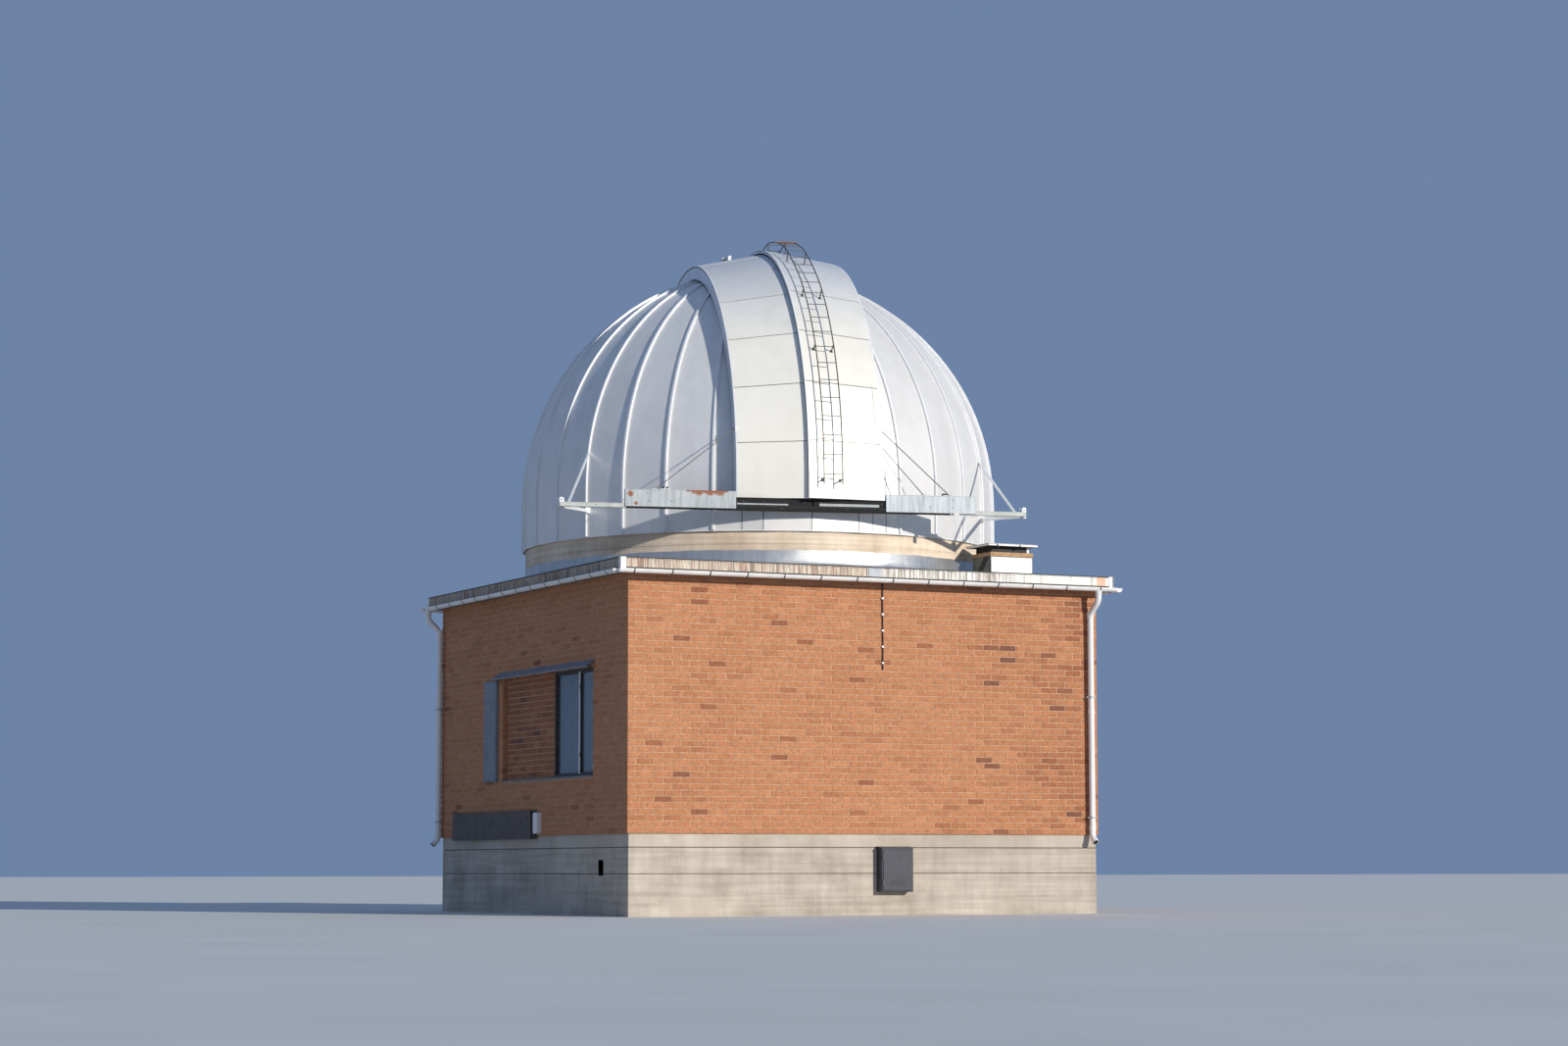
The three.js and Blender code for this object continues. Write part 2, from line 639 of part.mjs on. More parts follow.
// The envelope is the dome's outside with its ribs: what touches the dome ends there
function buildRails(dome, envelope) {
  const brackets = RAIL_BRACKETS.map((x) => {
    const skin = Math.sqrt(DOME_R * DOME_R - x * x);
    const arm = rectangle(skin - PAST, RAIL_IN + PAST, RAIL_DROP + 10, RAIL_DROP + 50);
    return railBar(arm, x - 30, x + 30, SHUTTER_BOTTOM);
  });
  const front = join([rail(RAIL_LEFT, RAIL_RIGHT, SHUTTER_BOTTOM), ...brackets]);
  place(dome, "front_rail", largest(front.subtract(envelope)), GALVANISED);

  // Struts that hold the front rail's free ends to the dome's skin
  const behind = -RAIL_IN + SEAT;
  const plateT = 20;
  const railTop = SHUTTER_BOTTOM - RAIL_DROP;
  const level = railTop - 60;
  [
    ["left", RAIL_LEFT + STOP_T / 2, -1],
    ["right", RAIL_RIGHT - STOP_T / 2, 1],
  ].forEach(([name, x, sign]) => {
    const plate = block([x - 50, behind, railTop - 90], [x + 50, behind + plateT, railTop + 60]);
    const back = behind + plateT;
    const lower = bar([x, back, level], [sign * 3100, -2000, level], STRUT_W);
    const rising = bar([x, back, railTop + 30], [sign * 3038, -2050, 7070], STRUT_W - 5);
    const struts = join([plate, lower, rising]).subtract(envelope);
    place(dome, "rail_struts_" + name, largest(struts), GALVANISED);
  });

  // The rear rail, drawn in the front's upright pose and carried over the top
  const half = REAR_RAIL_HALF;
  const legLevel = CENTRE_Z - RAIL_DROP - RAIL_H / 2;
  const leg = (x, foot, depth) =>
    bar([x, -RAIL_IN - 30, legLevel], [foot, -depth, legLevel], STRUT_W);
  const legs = [-1, 1].flatMap((side) => [
    leg(side * (half - 60), side * (half - 250), 2700),
    leg(side * 900, side * 900, 3500),
  ]);
  const upright = rail(-half, half, CENTRE_Z);
  const rear = toRear(join([upright, ...legs])).subtract(envelope);
  place(dome, "rear_rail", largest(rear), GALVANISED);
}

// The outside of a shutter's skin as a function of x, moved out or in by an offset
const skinOf =
  ({ edge, low, high }, offset = 0) =>
  (x) =>
    low + ((high - low) * (x - edge)) / (MEETING - edge) + offset;

const SHUTTER_TO = 90 + REAR_DEG;

// A flat upright wall along one edge of a shutter, from the given radius out to its skin
function sideWall(side, x, toward, inner) {
  const x2 = x + toward * SHUTTER_WALL;
  const [x0, x1] = [Math.min(x, x2), Math.max(x, x2)];
  return patch(x0, x1, inner, skinOf(side), SHUTTER_FROM, SHUTTER_TO, 1);
}

// A shutter's skin with its foot plate and rear plate. The right one has an inner wall too,
// over the left one's edge, which lies under it.
function shutterSkin({ side, inside, laps }) {
  const outward = Math.sign(side.edge);
  const rim = side.edge - outward * (SHUTTER_WALL + SEAT);
  const [x0, x1] = [Math.min(rim, inside), Math.max(rim, inside)];
  const under = skinOf(side, -SKIN_T / 4);
  const plug = patch(x0, x1, SIDE_FOOT_R, under, SHUTTER_FROM, 0, 4);
  const level = SHUTTER_BOTTOM + SEAT;
  const parts = [
    patch(x0, x1, skinOf(side, -SKIN_T), skinOf(side), SHUTTER_FROM, SHUTTER_TO, 1),
    plug.intersect(block([x0, -side.high, level], [x1, 0, level + SHUTTER_WALL])),
    patch(x0, x1, SIDE_FOOT_R, under, SHUTTER_TO - REAR_PLATE, SHUTTER_TO, 4),
  ];
  const foot = skinOf(LEFT_SHUTTER, LAP_GAP);
  if (laps) parts.push(sideWall(side, inside, outward, foot));
  const whole = join(parts).intersect(overFoot());
  if (!laps) return whole;
  const lapEnd = inside + LAP + LAP_GAP;
  const cut = patch(inside - PAST, lapEnd, SIDE_FOOT_R - PAST, foot, SHUTTER_FROM - 1, SHUTTER_TO + 1, 1);
  return whole.subtract(cut);
}

// All the space over the foot of the shutters
function overFoot() {
  const far = RIGHT_SHUTTER.high + PAST;
  return block([-far, -far, SHUTTER_BOTTOM + SEAT], [far, far, CENTRE_Z + far]);
}

function buildShutters(dome) {
  const faceOut = RAIL_OUT + PAST;
  const runsOn = RAIL_DROP - RUNNING_GAP;
  const boxIn = RAIL_IN - 20;
  const boxOut = RAIL_OUT + BOX_PROUD;
  const beam = rectangle(RAIL_IN - 5, RAIL_OUT - 15, SEAT, runsOn);
  // The deep box stands on the rail's line, with a lip that hangs in front of the rail
  const cover = [
    [boxIn, -BOX_RISE],
    [boxOut, -BOX_RISE],
    [boxOut, RAIL_DROP + RAIL_H - 10],
    [faceOut, RAIL_DROP + RAIL_H - 10],
    [faceOut, runsOn],
    [boxIn, runsOn],
  ];
  const left = shutterSkin({ side: LEFT_SHUTTER, inside: MEETING + LAP, laps: false });
  const far = RIGHT_SHUTTER.high + PAST;
  const wedge = (from, to) =>
    patch(LEFT_SHUTTER.edge, MEETING + LAP + PAST, SIDE_FOOT_R - PAST, far, from, to, 4);
  const lower = left.intersect(wedge(SHUTTER_FROM - 1, SEAM_DEG));
  const upper = left.intersect(wedge(SEAM_DEG + SEAM_GAP, SHUTTER_TO + 1));
  place(dome, "shutter_left_lower", lower, DOME_METAL);
  place(dome, "shutter_left_upper", upper, DOME_METAL);
  const right = shutterSkin({ side: RIGHT_SHUTTER, inside: MEETING, laps: true });
  place(dome, "shutter_right", right, DOME_METAL);

  const sides = [
    {
      name: "left",
      side: LEFT_SHUTTER,
      meet: MEETING + LAP,
      box: BOX_LEFT,
      braces: [{ from: -2425, rise: 7245 }],
    },
    {
      name: "right",
      side: RIGHT_SHUTTER,
      meet: MEETING + LAP + LAP_GAP,
      box: BOX_RIGHT,
      braces: [
        { from: 1705, rise: 7050 },
        { from: 2115, rise: 7290 },
      ],
    },
  ];
  for (const { name, side, meet, box, braces } of sides) {
    const outward = Math.sign(side.edge);
    const outer = sideWall(side, side.edge, -outward, SIDE_FOOT_R);
    const wall = outer.intersect(overFoot());
    place(dome, "shutter_" + name + "_side", wall, DOME_METAL);
    const braceX = side.edge + outward * 20;
    const bars = braces.map(({ from, rise }) =>
      bar([from, -boxIn - 60, SHUTTER_BOTTOM + 70], [braceX, -BRACE_IN, rise], BRACE_W),
    );
    const parts = join([
      railBar(beam, meet, box, SHUTTER_BOTTOM),
      railBar(cover, side.edge + outward * 40, box, SHUTTER_BOTTOM),
      ...bars,
    ]);
    place(dome, "carriage_" + name, parts, GALVANISED);
    const rearBeam = railBar(beam, meet, side.edge, CENTRE_Z);
    place(dome, "rear_carriage_" + name, toRear(rearBeam), GALVANISED);
  }
}

// The ladder that follows the right shutter up to the top of the dome. It stands a little
// higher over the crown, then comes down to the skin.
const smoothstep = THREE.MathUtils.smoothstep;
const ladderRadius = (angle) => {
  const crown = smoothstep(angle, 58, 68) - smoothstep(angle, 84, 90);
  const down = smoothstep(angle, 88, LADDER_TO);
  return LADDER_R + CROWN_RISE * crown - LADDER_SINK * down;
};

class LadderArc extends THREE.Curve {
  constructor(x) {
    super();
    this.x = x;
  }
  getPoint(t, target = new THREE.Vector3()) {
    const angle = LADDER_FROM + (LADDER_TO - LADDER_FROM) * t;
    return target.set(this.x, ...overDome(angle, ladderRadius(angle)));
  }
}

// The y and z of a point at an angle over the dome and a distance from its centre
const overDome = (angle, r) => [-r * Math.cos(deg(angle)), CENTRE_Z + r * Math.sin(deg(angle))];

function buildLadder(dome) {
  const stringers = [LADDER_NEAR, LADDER_FAR].map((x) =>
    solid(
      new THREE.ExtrudeGeometry(roundSection(STRINGER_R, 6), {
        steps: 26,
        extrudePath: new LadderArc(x),
        bevelEnabled: false,
      }),
    ),
  );
  const pitch = THREE.MathUtils.radToDeg(RUNG_PITCH / LADDER_R);
  const rungs = [];
  for (let angle = LADDER_FROM + pitch / 2; angle < LADDER_TO; angle += pitch) {
    const level = overDome(angle, ladderRadius(angle));
    rungs.push(bar([LADDER_NEAR, ...level], [LADDER_FAR, ...level], RUNG_W));
  }
  const feet = LADDER_FEET.flatMap((angle) =>
    [LADDER_NEAR, LADDER_FAR].map((x) => {
      const skin = skinOf(RIGHT_SHUTTER, -PAST)(x);
      const top = overDome(angle, ladderRadius(angle));
      return bar([x, ...overDome(angle, skin)], [x, ...top], FOOT_W);
    }),
  );
  const [under, over] = [skinOf(RIGHT_SHUTTER, -3 * SKIN_T), skinOf(RIGHT_SHUTTER, SEAT)];
  const seat = patch(MEETING, RIGHT_SHUTTER.edge, under, over, SHUTTER_FROM, SHUTTER_TO, 1);
  place(dome, "ladder", join([...stringers, ...rungs, ...feet]).subtract(seat), GALVANISED);
}

const observatory = new THREE.Group();
const site = new THREE.Group();
site.position.set(AXIS_X, AXIS_Y, 0);
observatory.add(site);
buildBlock(site);
buildWindow(site);
buildRoof(site);
buildFittings(site);
buildDrum(site);

const dome = new THREE.Group();
dome.rotation.z = deg(DOME_TURN);
site.add(dome);
const bottom = SKIRT_BOTTOM - PAST;
const round = ring([...meridian(DOME_R + SEAT, bottom), [0, bottom]]);
const envelope = round.add(ribs(SEAT));
buildShell(dome);
buildRails(dome, envelope);
buildShutters(dome);
buildLadder(dome);

export default observatory;
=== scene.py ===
import json
import random
from itertools import product
from math import asin, atan2, copysign, cos, degrees, pi, radians, sin, sqrt

import bmesh
import bpy
from mathutils import Matrix, Vector, noise


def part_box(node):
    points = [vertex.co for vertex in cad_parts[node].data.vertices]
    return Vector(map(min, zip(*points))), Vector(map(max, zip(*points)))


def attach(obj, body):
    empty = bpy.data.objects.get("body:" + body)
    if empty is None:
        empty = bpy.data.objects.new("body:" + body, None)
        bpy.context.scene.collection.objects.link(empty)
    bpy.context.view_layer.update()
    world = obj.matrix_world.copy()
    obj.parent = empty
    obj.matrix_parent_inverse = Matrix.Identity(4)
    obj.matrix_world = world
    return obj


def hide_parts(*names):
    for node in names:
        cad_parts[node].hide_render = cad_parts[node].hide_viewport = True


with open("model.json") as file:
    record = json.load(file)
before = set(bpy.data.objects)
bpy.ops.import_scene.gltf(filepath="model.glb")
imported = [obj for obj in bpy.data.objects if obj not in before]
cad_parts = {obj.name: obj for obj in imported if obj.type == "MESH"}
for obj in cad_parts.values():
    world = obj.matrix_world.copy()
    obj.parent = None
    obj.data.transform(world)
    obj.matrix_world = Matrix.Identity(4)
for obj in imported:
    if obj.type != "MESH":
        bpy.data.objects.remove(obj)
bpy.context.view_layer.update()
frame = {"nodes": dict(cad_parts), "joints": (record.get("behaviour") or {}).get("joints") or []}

# The building's own measures, read off the frame. Metres, ground at z = 0.
low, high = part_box("dome_track")
AXIS = (low + high) / 2
AXIS.z = 0
low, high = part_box("wall_front")
HALF = (high.x - low.x) / 2
BASE_TOP, WALL_TOP = low.z, high.z
WALL_T = high.y - low.y
low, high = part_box("floor_deck")
DECK_LOW = low.z
BASE_HALF = (high.x - low.x) / 2
low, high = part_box("base_left")
BASE_T = high.x - low.x
ROOF_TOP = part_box("roof_slab")[1].z
low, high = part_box("roof_fascia")
EDGE = (high.x - low.x) / 2
FASCIA_TOP = high.z
low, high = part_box("gutter_front")
GUTTER_Z, GUTTER_R = high.z, high.z - low.z
low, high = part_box("drum_front_left")
DRUM_TOP, DRUM_R = high.z, AXIS.x - low.x
DRUM_T = 0.2
slide = next(j for j in frame["joints"] if j["name"] == "right_shutter_slide")["axis"]
TURN = atan2(slide[1], slide[0])
SIDES = ("front", "right", "back", "left")

# Bricks, 27.5 to a side
COURSE = 0.09
JOINT = 0.015
BRICK_H = COURSE - JOINT
PITCH = (2 * HALF + JOINT) / 27.5
BRICK_L = PITCH - JOINT
HALF_BRICK = PITCH / 2 - JOINT
COURSES = round((WALL_TOP - BASE_TOP) / COURSE)
MORTAR_BACK = 0.006
BRICK_DEEP = 0.06
SLIVER = 0.02
OUT_OF_TRUE = 0.0015

# Window in the left side, measured from the dome's axis
WINDOW_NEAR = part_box("window_frame")[0].y - AXIS.y
WINDOW_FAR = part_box("wall_under_window")[1].y - AXIS.y
PIER_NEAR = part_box("window_pier")[0].y - AXIS.y
SILL_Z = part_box("wall_under_window")[1].z
HEAD_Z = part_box("wall_over_window")[0].z
PIER_RECESS = 0.07

# Dome
CENTRE_Z = 6.457
DOME_R = 3.775
SHELL_T = 0.03
SKIRT_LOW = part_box("dome_panel_front")[0].z
PANEL_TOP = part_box("dome_panel_front")[1].z
RIBS = 32
BAY = 360 / RIBS
RIB_FREE = 2
RIB_W = 0.04
RIB_H = 0.03
RIB_FOOT = 0.02
SLIT = 0.95
SLIT_REAR = 2.4

# Shutters: flat across, rising from the outer edge to the line where they meet
MEETING = -0.115
LAP = 0.085
LAP_GAP = 0.015
LEFT = {"edge": -1.16, "low": 3.86, "high": 4.07}
RIGHT = {"edge": 1.06, "low": 3.96, "high": 4.145}
SKIN_T = 0.02
SIDE_T = 0.015
SIDE_FOOT = 3.82
SHUTTER_LOW = 6.185
SHUTTER_END = 132
SEAMS = [None] + [8.4 + 13.3 * i for i in range(9)] + [SHUTTER_END]
PROUD = 0.005

# Rails and boxes: distances from the dome's axis, and heights
RAIL_IN = 3.91
RAIL_OUT = 3.99
RAIL_LOW = 5.99
RAIL_TOP = 6.06
RAIL_LEFT = -3.845
RAIL_RIGHT = 3.295
BOX_FACE = 4.012
BOX_LEFT = -2.875
BOX_RIGHT = 2.505

# How far the edges of sheet metal, and of the thinnest of it, are cut off
THIN = 0.002
FINE = 0.001

rng = random.Random(7)


def on_site(p):
    """A point measured from the dome's axis, square with the building"""
    return Vector(p) + AXIS


def on_dome(p):
    """A point in the dome's own turned frame, whose slit faces -Y"""
    x, y, z = p
    c, s = cos(TURN), sin(TURN)
    return Vector((x * c - y * s, x * s + y * c, z)) + AXIS


def about(node):
    """The low and high corner of a node's box, measured from the dome's axis"""
    return [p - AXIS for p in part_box(node)]


def around(r, a, z):
    """A point at an angle about the upright axis, 0 at the front"""
    return Vector((r * sin(a), -r * cos(a), z))


# The piece in the making. Each point has a tint and each face a material's number.
POINTS, TINTS, FACES, KINDS = [], [], [], []


def add(points, faces, kind=0, tint=0.5):
    start = len(POINTS)
    POINTS.extend(Vector(p) for p in points)
    TINTS.extend([tint] * len(points))
    FACES.extend([start + i for i in face] for face in faces)
    KINDS.extend([kind] * len(faces))


def box(low, high, kind=0, bevel=THIN, tint=0.5, run=None):
    """A box, with its edges cut off by the bevel. run maps its corners elsewhere."""
    spans, both = list(zip(low, high)), (0, 1)
    if not bevel:
        corners = list(product(*spans))
        faces = [(0, 1, 3, 2), (4, 6, 7, 5), (0, 4, 5, 1), (2, 3, 7, 6), (0, 2, 6, 4), (1, 5, 7, 3)]
    else:
        corners, faces = [], []
        for (x, dx), (y, dy), (z, dz) in product(*[((a, bevel), (b, -bevel)) for a, b in spans]):
            corners += [(x, y + dy, z + dz), (x + dx, y, z + dz), (x + dx, y + dy, z)]
        at = lambda i, j, k, axis: 3 * (4 * i + 2 * j + k) + axis
        ends = ((0, 0), (0, 1), (1, 1), (1, 0))
        for s in both:
            faces.append([at(s, j, k, 0) for j, k in ends])
            faces.append([at(i, s, k, 1) for i, k in ends])
            faces.append([at(i, j, s, 2) for i, j in ends])
        for a, c in product(both, both):
            faces.append([at(0, a, c, 1), at(0, a, c, 2), at(1, a, c, 2), at(1, a, c, 1)])
            faces.append([at(a, 0, c, 0), at(a, 0, c, 2), at(a, 1, c, 2), at(a, 1, c, 0)])
            faces.append([at(a, c, 0, 0), at(a, c, 0, 1), at(a, c, 1, 1), at(a, c, 1, 0)])
        faces += [[3 * n, 3 * n + 1, 3 * n + 2] for n in range(8)]
    if run:
        corners = [run(*p) for p in corners]
    add(corners, faces, kind, tint)


def loft(loops, kind=0, tint=0.5, closed=False):
    """A skin through loops of points, with a cap at each end or closed into a ring"""
    n, count = len(loops[0]), len(loops)
    faces = []
    for i in range(count if closed else count - 1):
        a, b = i * n, (i + 1) % count * n
        faces += [[a + j, a + (j + 1) % n, b + (j + 1) % n, b + j] for j in range(n)]
    if not closed:
        faces += [list(range(n)), [(count - 1) * n + j for j in range(n)]]
    add([p for loop in loops for p in loop], faces, kind, tint)


def slab(outer, inner, kind=0, tint=0.5):
    """A closed sheet between two grids of points of the same size"""
    rows, cols = len(outer) - 1, len(outer[0]) - 1
    at = lambda k, i, j: (k * (rows + 1) + i) * (cols + 1) + j
    faces = []
    for k, i, j in product((0, 1), range(rows), range(cols)):
        faces.append([at(k, i, j), at(k, i, j + 1), at(k, i + 1, j + 1), at(k, i + 1, j)])
    for i, j in product(range(rows), (0, cols)):
        faces.append([at(0, i, j), at(1, i, j), at(1, i + 1, j), at(0, i + 1, j)])
    for j, i in product(range(cols), (0, rows)):
        faces.append([at(0, i, j), at(0, i, j + 1), at(1, i, j + 1), at(1, i, j)])
    add([p for grid in (outer, inner) for row in grid for p in row], faces, kind, tint)


def tube(path, radius, sides=8, kind=0, tint=0.5):
    """A round bar along a path. The radius may be a list, one for each point."""
    path = [Vector(p) for p in path]
    radii = radius if isinstance(radius, list) else [radius] * len(path)
    turn = [2 * pi * (k + 0.5) / sides for k in range(sides)]
    loops, side = [], None
    for before, p, after, r in zip(path[:1] + path, path, path[1:] + path[-1:], radii):
        along = (after - before).normalized()
        if side is None:
            side = along.cross(Vector((0, 0, 1)))
            if side.length < 0.05:
                side = along.cross(Vector((1, 0, 0)))
        side = (side - along * side.dot(along)).normalized()
        up = along.cross(side)
        loops.append([p + (side * cos(a) + up * sin(a)) * r for a in turn])
    loft(loops, kind, tint)


def stud(place, out, radius, kind=1, sides=6):
    """A short round bar from a place, as far as out says"""
    tube([place, Vector(place) + Vector(out)], radius, sides, kind)


def show(name, data):
    """A new object in the scene"""
    made = bpy.data.objects.new(name, data)
    bpy.context.scene.collection.objects.link(made)
    return made


def build(name, slot, materials, *replaces, body="building", sharp=32):
    """Makes the piece, and clears the bench for the next one"""
    place = on_site if body == "building" else on_dome
    mesh = bpy.data.meshes.new(name)
    mesh.from_pydata([place(p) for p in POINTS], [], FACES)
    mesh.polygons.foreach_set("material_index", KINDS)
    tint = mesh.attributes.new("tint", "FLOAT", "POINT")
    tint.data.foreach_set("value", TINTS)
    for values in (POINTS, TINTS, FACES, KINDS):
        values.clear()
    work = bmesh.new()
    work.from_mesh(mesh)
    bmesh.ops.recalc_face_normals(work, faces=work.faces)
    work.to_mesh(mesh)
    work.free()
    mesh.polygons.foreach_set("use_smooth", [True] * len(mesh.polygons))
    mesh.set_sharp_from_angle(angle=radians(sharp))
    for m in materials:
        mesh.materials.append(m)
    piece = show(name, mesh)
    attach(piece, body)
    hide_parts(*replaces)
    return piece


# Materials
def rgba(value):
    """A screen colour of 0 to 255, or a plain grey of 0 to 1, as Blender's materials take it"""
    if isinstance(value, tuple):
        return (*(((c / 255 + 0.055) / 1.055) ** 2.4 for c in value), 1)
    return value, value, value, 1


class Finish:
    """A procedural material under construction"""

    def __init__(self, name, roughness=0.6, metallic=0.0, **inputs):
        self.material = bpy.data.materials.new(name)
        self.material.use_nodes = True
        self.tree = self.material.node_tree
        self.shader = self.tree.nodes["Principled BSDF"]
        inputs.update(Roughness=roughness, Metallic=metallic)
        for key, value in inputs.items():
            self.shader.inputs[key.replace("_", " ")].default_value = value
        self.where = self.node("TexCoord").outputs["Object"]

    def node(self, kind, **inputs):
        made = self.tree.nodes.new("ShaderNode" + kind)
        for key, value in inputs.items():
            self.feed(made.inputs[key.replace("_", " ")], value)
        return made

    def feed(self, socket, value):
        if isinstance(value, bpy.types.NodeSocket):
            self.tree.links.new(value, socket)
        else:
            socket.default_value = value

    def noise(self, scale, stretch=(1, 1, 1), detail=3.0, rough=0.5):
        """Mottling, stretched along the axes that have small numbers"""
        place = self.node("Mapping", Vector=self.where, Scale=stretch).outputs[0]
        made = self.node("TexNoise", Vector=place, Scale=scale, Detail=detail, Roughness=rough)
        return made.outputs["Fac"]

    def ramp(self, fac, *stops):
        """Stops are (position, colour or grey)"""
        made = self.node("ValToRGB", Fac=fac)
        elements = made.color_ramp.elements
        while len(elements) < len(stops):
            elements.new(0.5)
        for element, (position, value) in zip(elements, stops):
            element.position = position
            element.color = rgba(value)
        return made.outputs["Color"]

    def tint(self):
        made = self.node("Attribute")
        made.attribute_name = "tint"
        return made.outputs["Fac"]

    def mix(self, fac, a, b, blend="MIX"):
        made = self.node("Mix")
        made.data_type = "RGBA"
        made.blend_type = blend
        for number, value in ((0, fac), (6, a), (7, b)):
            self.feed(made.inputs[number], rgba(value) if isinstance(value, tuple) else value)
        return made.outputs[2]

    def shade(self, a, b):
        return self.mix(1.0, a, b, "MULTIPLY")

    def height(self, axis="Z"):
        """The coordinate along one axis"""
        return self.node("SeparateXYZ", Vector=self.where).outputs[axis]

    def between(self, value, low, high):
        """0 at low and 1 at high"""
        return self.node("MapRange", Value=value, From_Min=low, From_Max=high).outputs[0]

    def times(self, a, b):
        made = self.node("Math")
        made.operation = "MULTIPLY"
        self.feed(made.inputs[0], a)
        self.feed(made.inputs[1], b)
        return made.outputs[0]

    def near(self, place, radius):
        """1 close to a place and 0 away from it, with a ragged edge near the radius"""
        away = self.node("VectorMath", Vector=self.where)
        away.operation = "DISTANCE"
        away.inputs[1].default_value = place
        ragged = self.times(away.outputs["Value"], self.ramp(self.noise(40), (0.35, 0.6), (0.65, 1.0)))
        return self.between(ragged, radius * 0.8, radius * 0.6)

    def band(self, value, low, high, edge):
        """1 between low and high, fading over the edge"""
        return self.times(self.between(value, low - edge, low), self.between(value, high + edge, high))

    def done(self, colour, bump, strength=0.3, distance=0.002, roughness=None):
        self.feed(self.shader.inputs["Base Color"], colour)
        if roughness is not None:
            self.feed(self.shader.inputs["Roughness"], roughness)
        made = self.node("Bump", Height=bump, Strength=strength, Distance=distance)
        self.feed(self.shader.inputs["Normal"], made.outputs[0])
        return self.material


def brick_finish():
    f = Finish("brick", 0.92)
    clays = ((116, 76, 62), (154, 96, 65), (182, 122, 84), (192, 133, 94), (201, 149, 112))
    clay = f.ramp(f.tint(), *((i / 4, clay) for i, clay in enumerate(clays)))
    blotch = f.ramp(f.noise(26, detail=6), (0.3, 0.78), (0.62, 1.08))
    return f.done(f.shade(clay, blotch), f.mix(0.5, f.noise(210, detail=4), blotch), 0.5, 0.003)


def mortar_finish():
    f = Finish("mortar", 0.95)
    colour = f.ramp(f.noise(18, detail=6), (0.3, (168, 130, 102)), (0.7, (204, 162, 130)))
    return f.done(colour, f.noise(160), 0.4)


def concrete_finish(name, dark, light, boards, streak):
    """Board-marked concrete: boards is how fast its marks follow one another up the wall"""
    f = Finish(name, 0.9)
    marks = f.noise(1.0, (0.5, 0.5, boards), detail=2)
    colour = f.ramp(f.noise(1.7, detail=7, rough=0.62), (0.3, dark), (0.68, light))
    colour = f.shade(colour, f.ramp(marks, (0.35, 0.86), (0.6, 1.03)))
    colour = f.shade(colour, f.ramp(f.noise(46, detail=5, rough=0.7), (0.24, 0.62), (0.34, 1.0)))
    colour = f.shade(colour, f.ramp(f.noise(9, (1, 1, 0.12), detail=4), (0.3, 1 - streak), (0.6, 1.0)))
    return f.done(colour, f.mix(0.45, marks, f.noise(90, detail=5)), 0.55, 0.006)


def painted_metal(name, colour, soil, metallic, roughness, rust=None, runs=9.0, top=None, spots=()):
    """Sheet metal, tinted piece by piece, with faint runs. Where rust is given, rust covers a
    part of it: a low number gives much rust. A top (low, high, colour) is painted shade that
    darkens and blues the sheet with height, and spots are (place, radius) of rust."""
    f = Finish(name, roughness, metallic)
    base = f.shade(colour, f.ramp(f.tint(), (0.0, 0.7), (0.5, 0.97), (1.0, 1.1)))
    base = f.shade(base, f.ramp(f.noise(runs, (1, 1, 0.09), detail=5), (0.3, soil), (0.62, 1.0)))
    cloud = f.noise(2.6, detail=6, rough=0.6)
    base = f.shade(base, f.ramp(cloud, (0.3, 0.93), (0.7, 1.03)))
    # Painted shade: the sheet darkens and turns bluer with height
    if top:
        base = f.mix(f.between(f.height(), *top[:2]), base, f.shade(base, top[2]))
    brown = f.mix(f.noise(60), (96, 56, 38), (168, 104, 66))
    if rust:
        cover = f.ramp(f.noise(15, detail=8, rough=0.7), (rust, 0.0), (rust + 0.07, 1.0))
        base = f.mix(cover, base, brown)
    for place, radius in spots:
        base = f.mix(f.near(place, radius), base, brown)
    rough = f.ramp(cloud, (0.3, roughness + 0.1), (0.7, max(roughness - 0.06, 0.05)))
    return f.done(base, f.noise(5), 0.12, 0.004, rough)


def fascia_finish():
    """White sheet under runs of dirt and rust, dense on the left half of the front"""
    f = Finish("fascia_sheet", 0.5, 0.05)
    white = f.shade((215, 214, 209), f.ramp(f.tint(), (0, 0.88), (1, 1.04)))
    runs = f.noise(24, (1, 1, 0.04), detail=5, rough=0.62)
    fine = f.noise(60, (1, 1, 0.03), rough=0.6)
    stained = f.ramp(
        runs,
        (0.38, (92, 60, 42)),
        (0.44, (146, 100, 72)),
        (0.47, (196, 170, 138)),
        (0.49, (216, 206, 190)),
        (0.515, (140, 138, 120)),
        (0.545, (204, 188, 162)),
        (0.59, (138, 98, 72)),
    )
    stained = f.shade(stained, f.ramp(fine, (0.38, 0.5), (0.48, 1.0), (0.58, 0.97), (0.68, 0.6)))
    place = f.ramp(f.noise(0.55, (1, 1, 0.1)), (0.35, 0.85), (0.6, 1.0))
    along = f.height("X")
    left = f.between(along, AXIS.x + 0.2, AXIS.x)
    few = f.ramp(f.noise(13, (1, 1, 0.04), detail=4, rough=0.7), (0.58, 0.0), (0.66, 0.6))
    more = f.ramp(f.noise(26, (1, 1, 0.04), detail=4, rough=0.7), (0.46, 0.0), (0.54, 0.9))
    right = f.mix(f.between(along, AXIS.x + 2.0, AXIS.x + 2.8), more, few)
    grime = f.mix(left, f.mix(0.55, stained, (112, 106, 94)), stained)
    colour = f.mix(f.mix(left, right, place), white, grime)
    # A patched sheet in the middle and an orange stain near the right end
    for low, high, edge, cover, tone in (
        (-0.12, 0.09, 0.02, 0.75, (168, 176, 190)),
        (3.86, 3.98, 0.04, 0.7, (206, 140, 84)),
    ):
        patch = f.band(along, AXIS.x + low, AXIS.x + high, edge)
        colour = f.mix(f.times(patch, cover), colour, tone)
    return f.done(colour, f.noise(6), 0.15, 0.004)


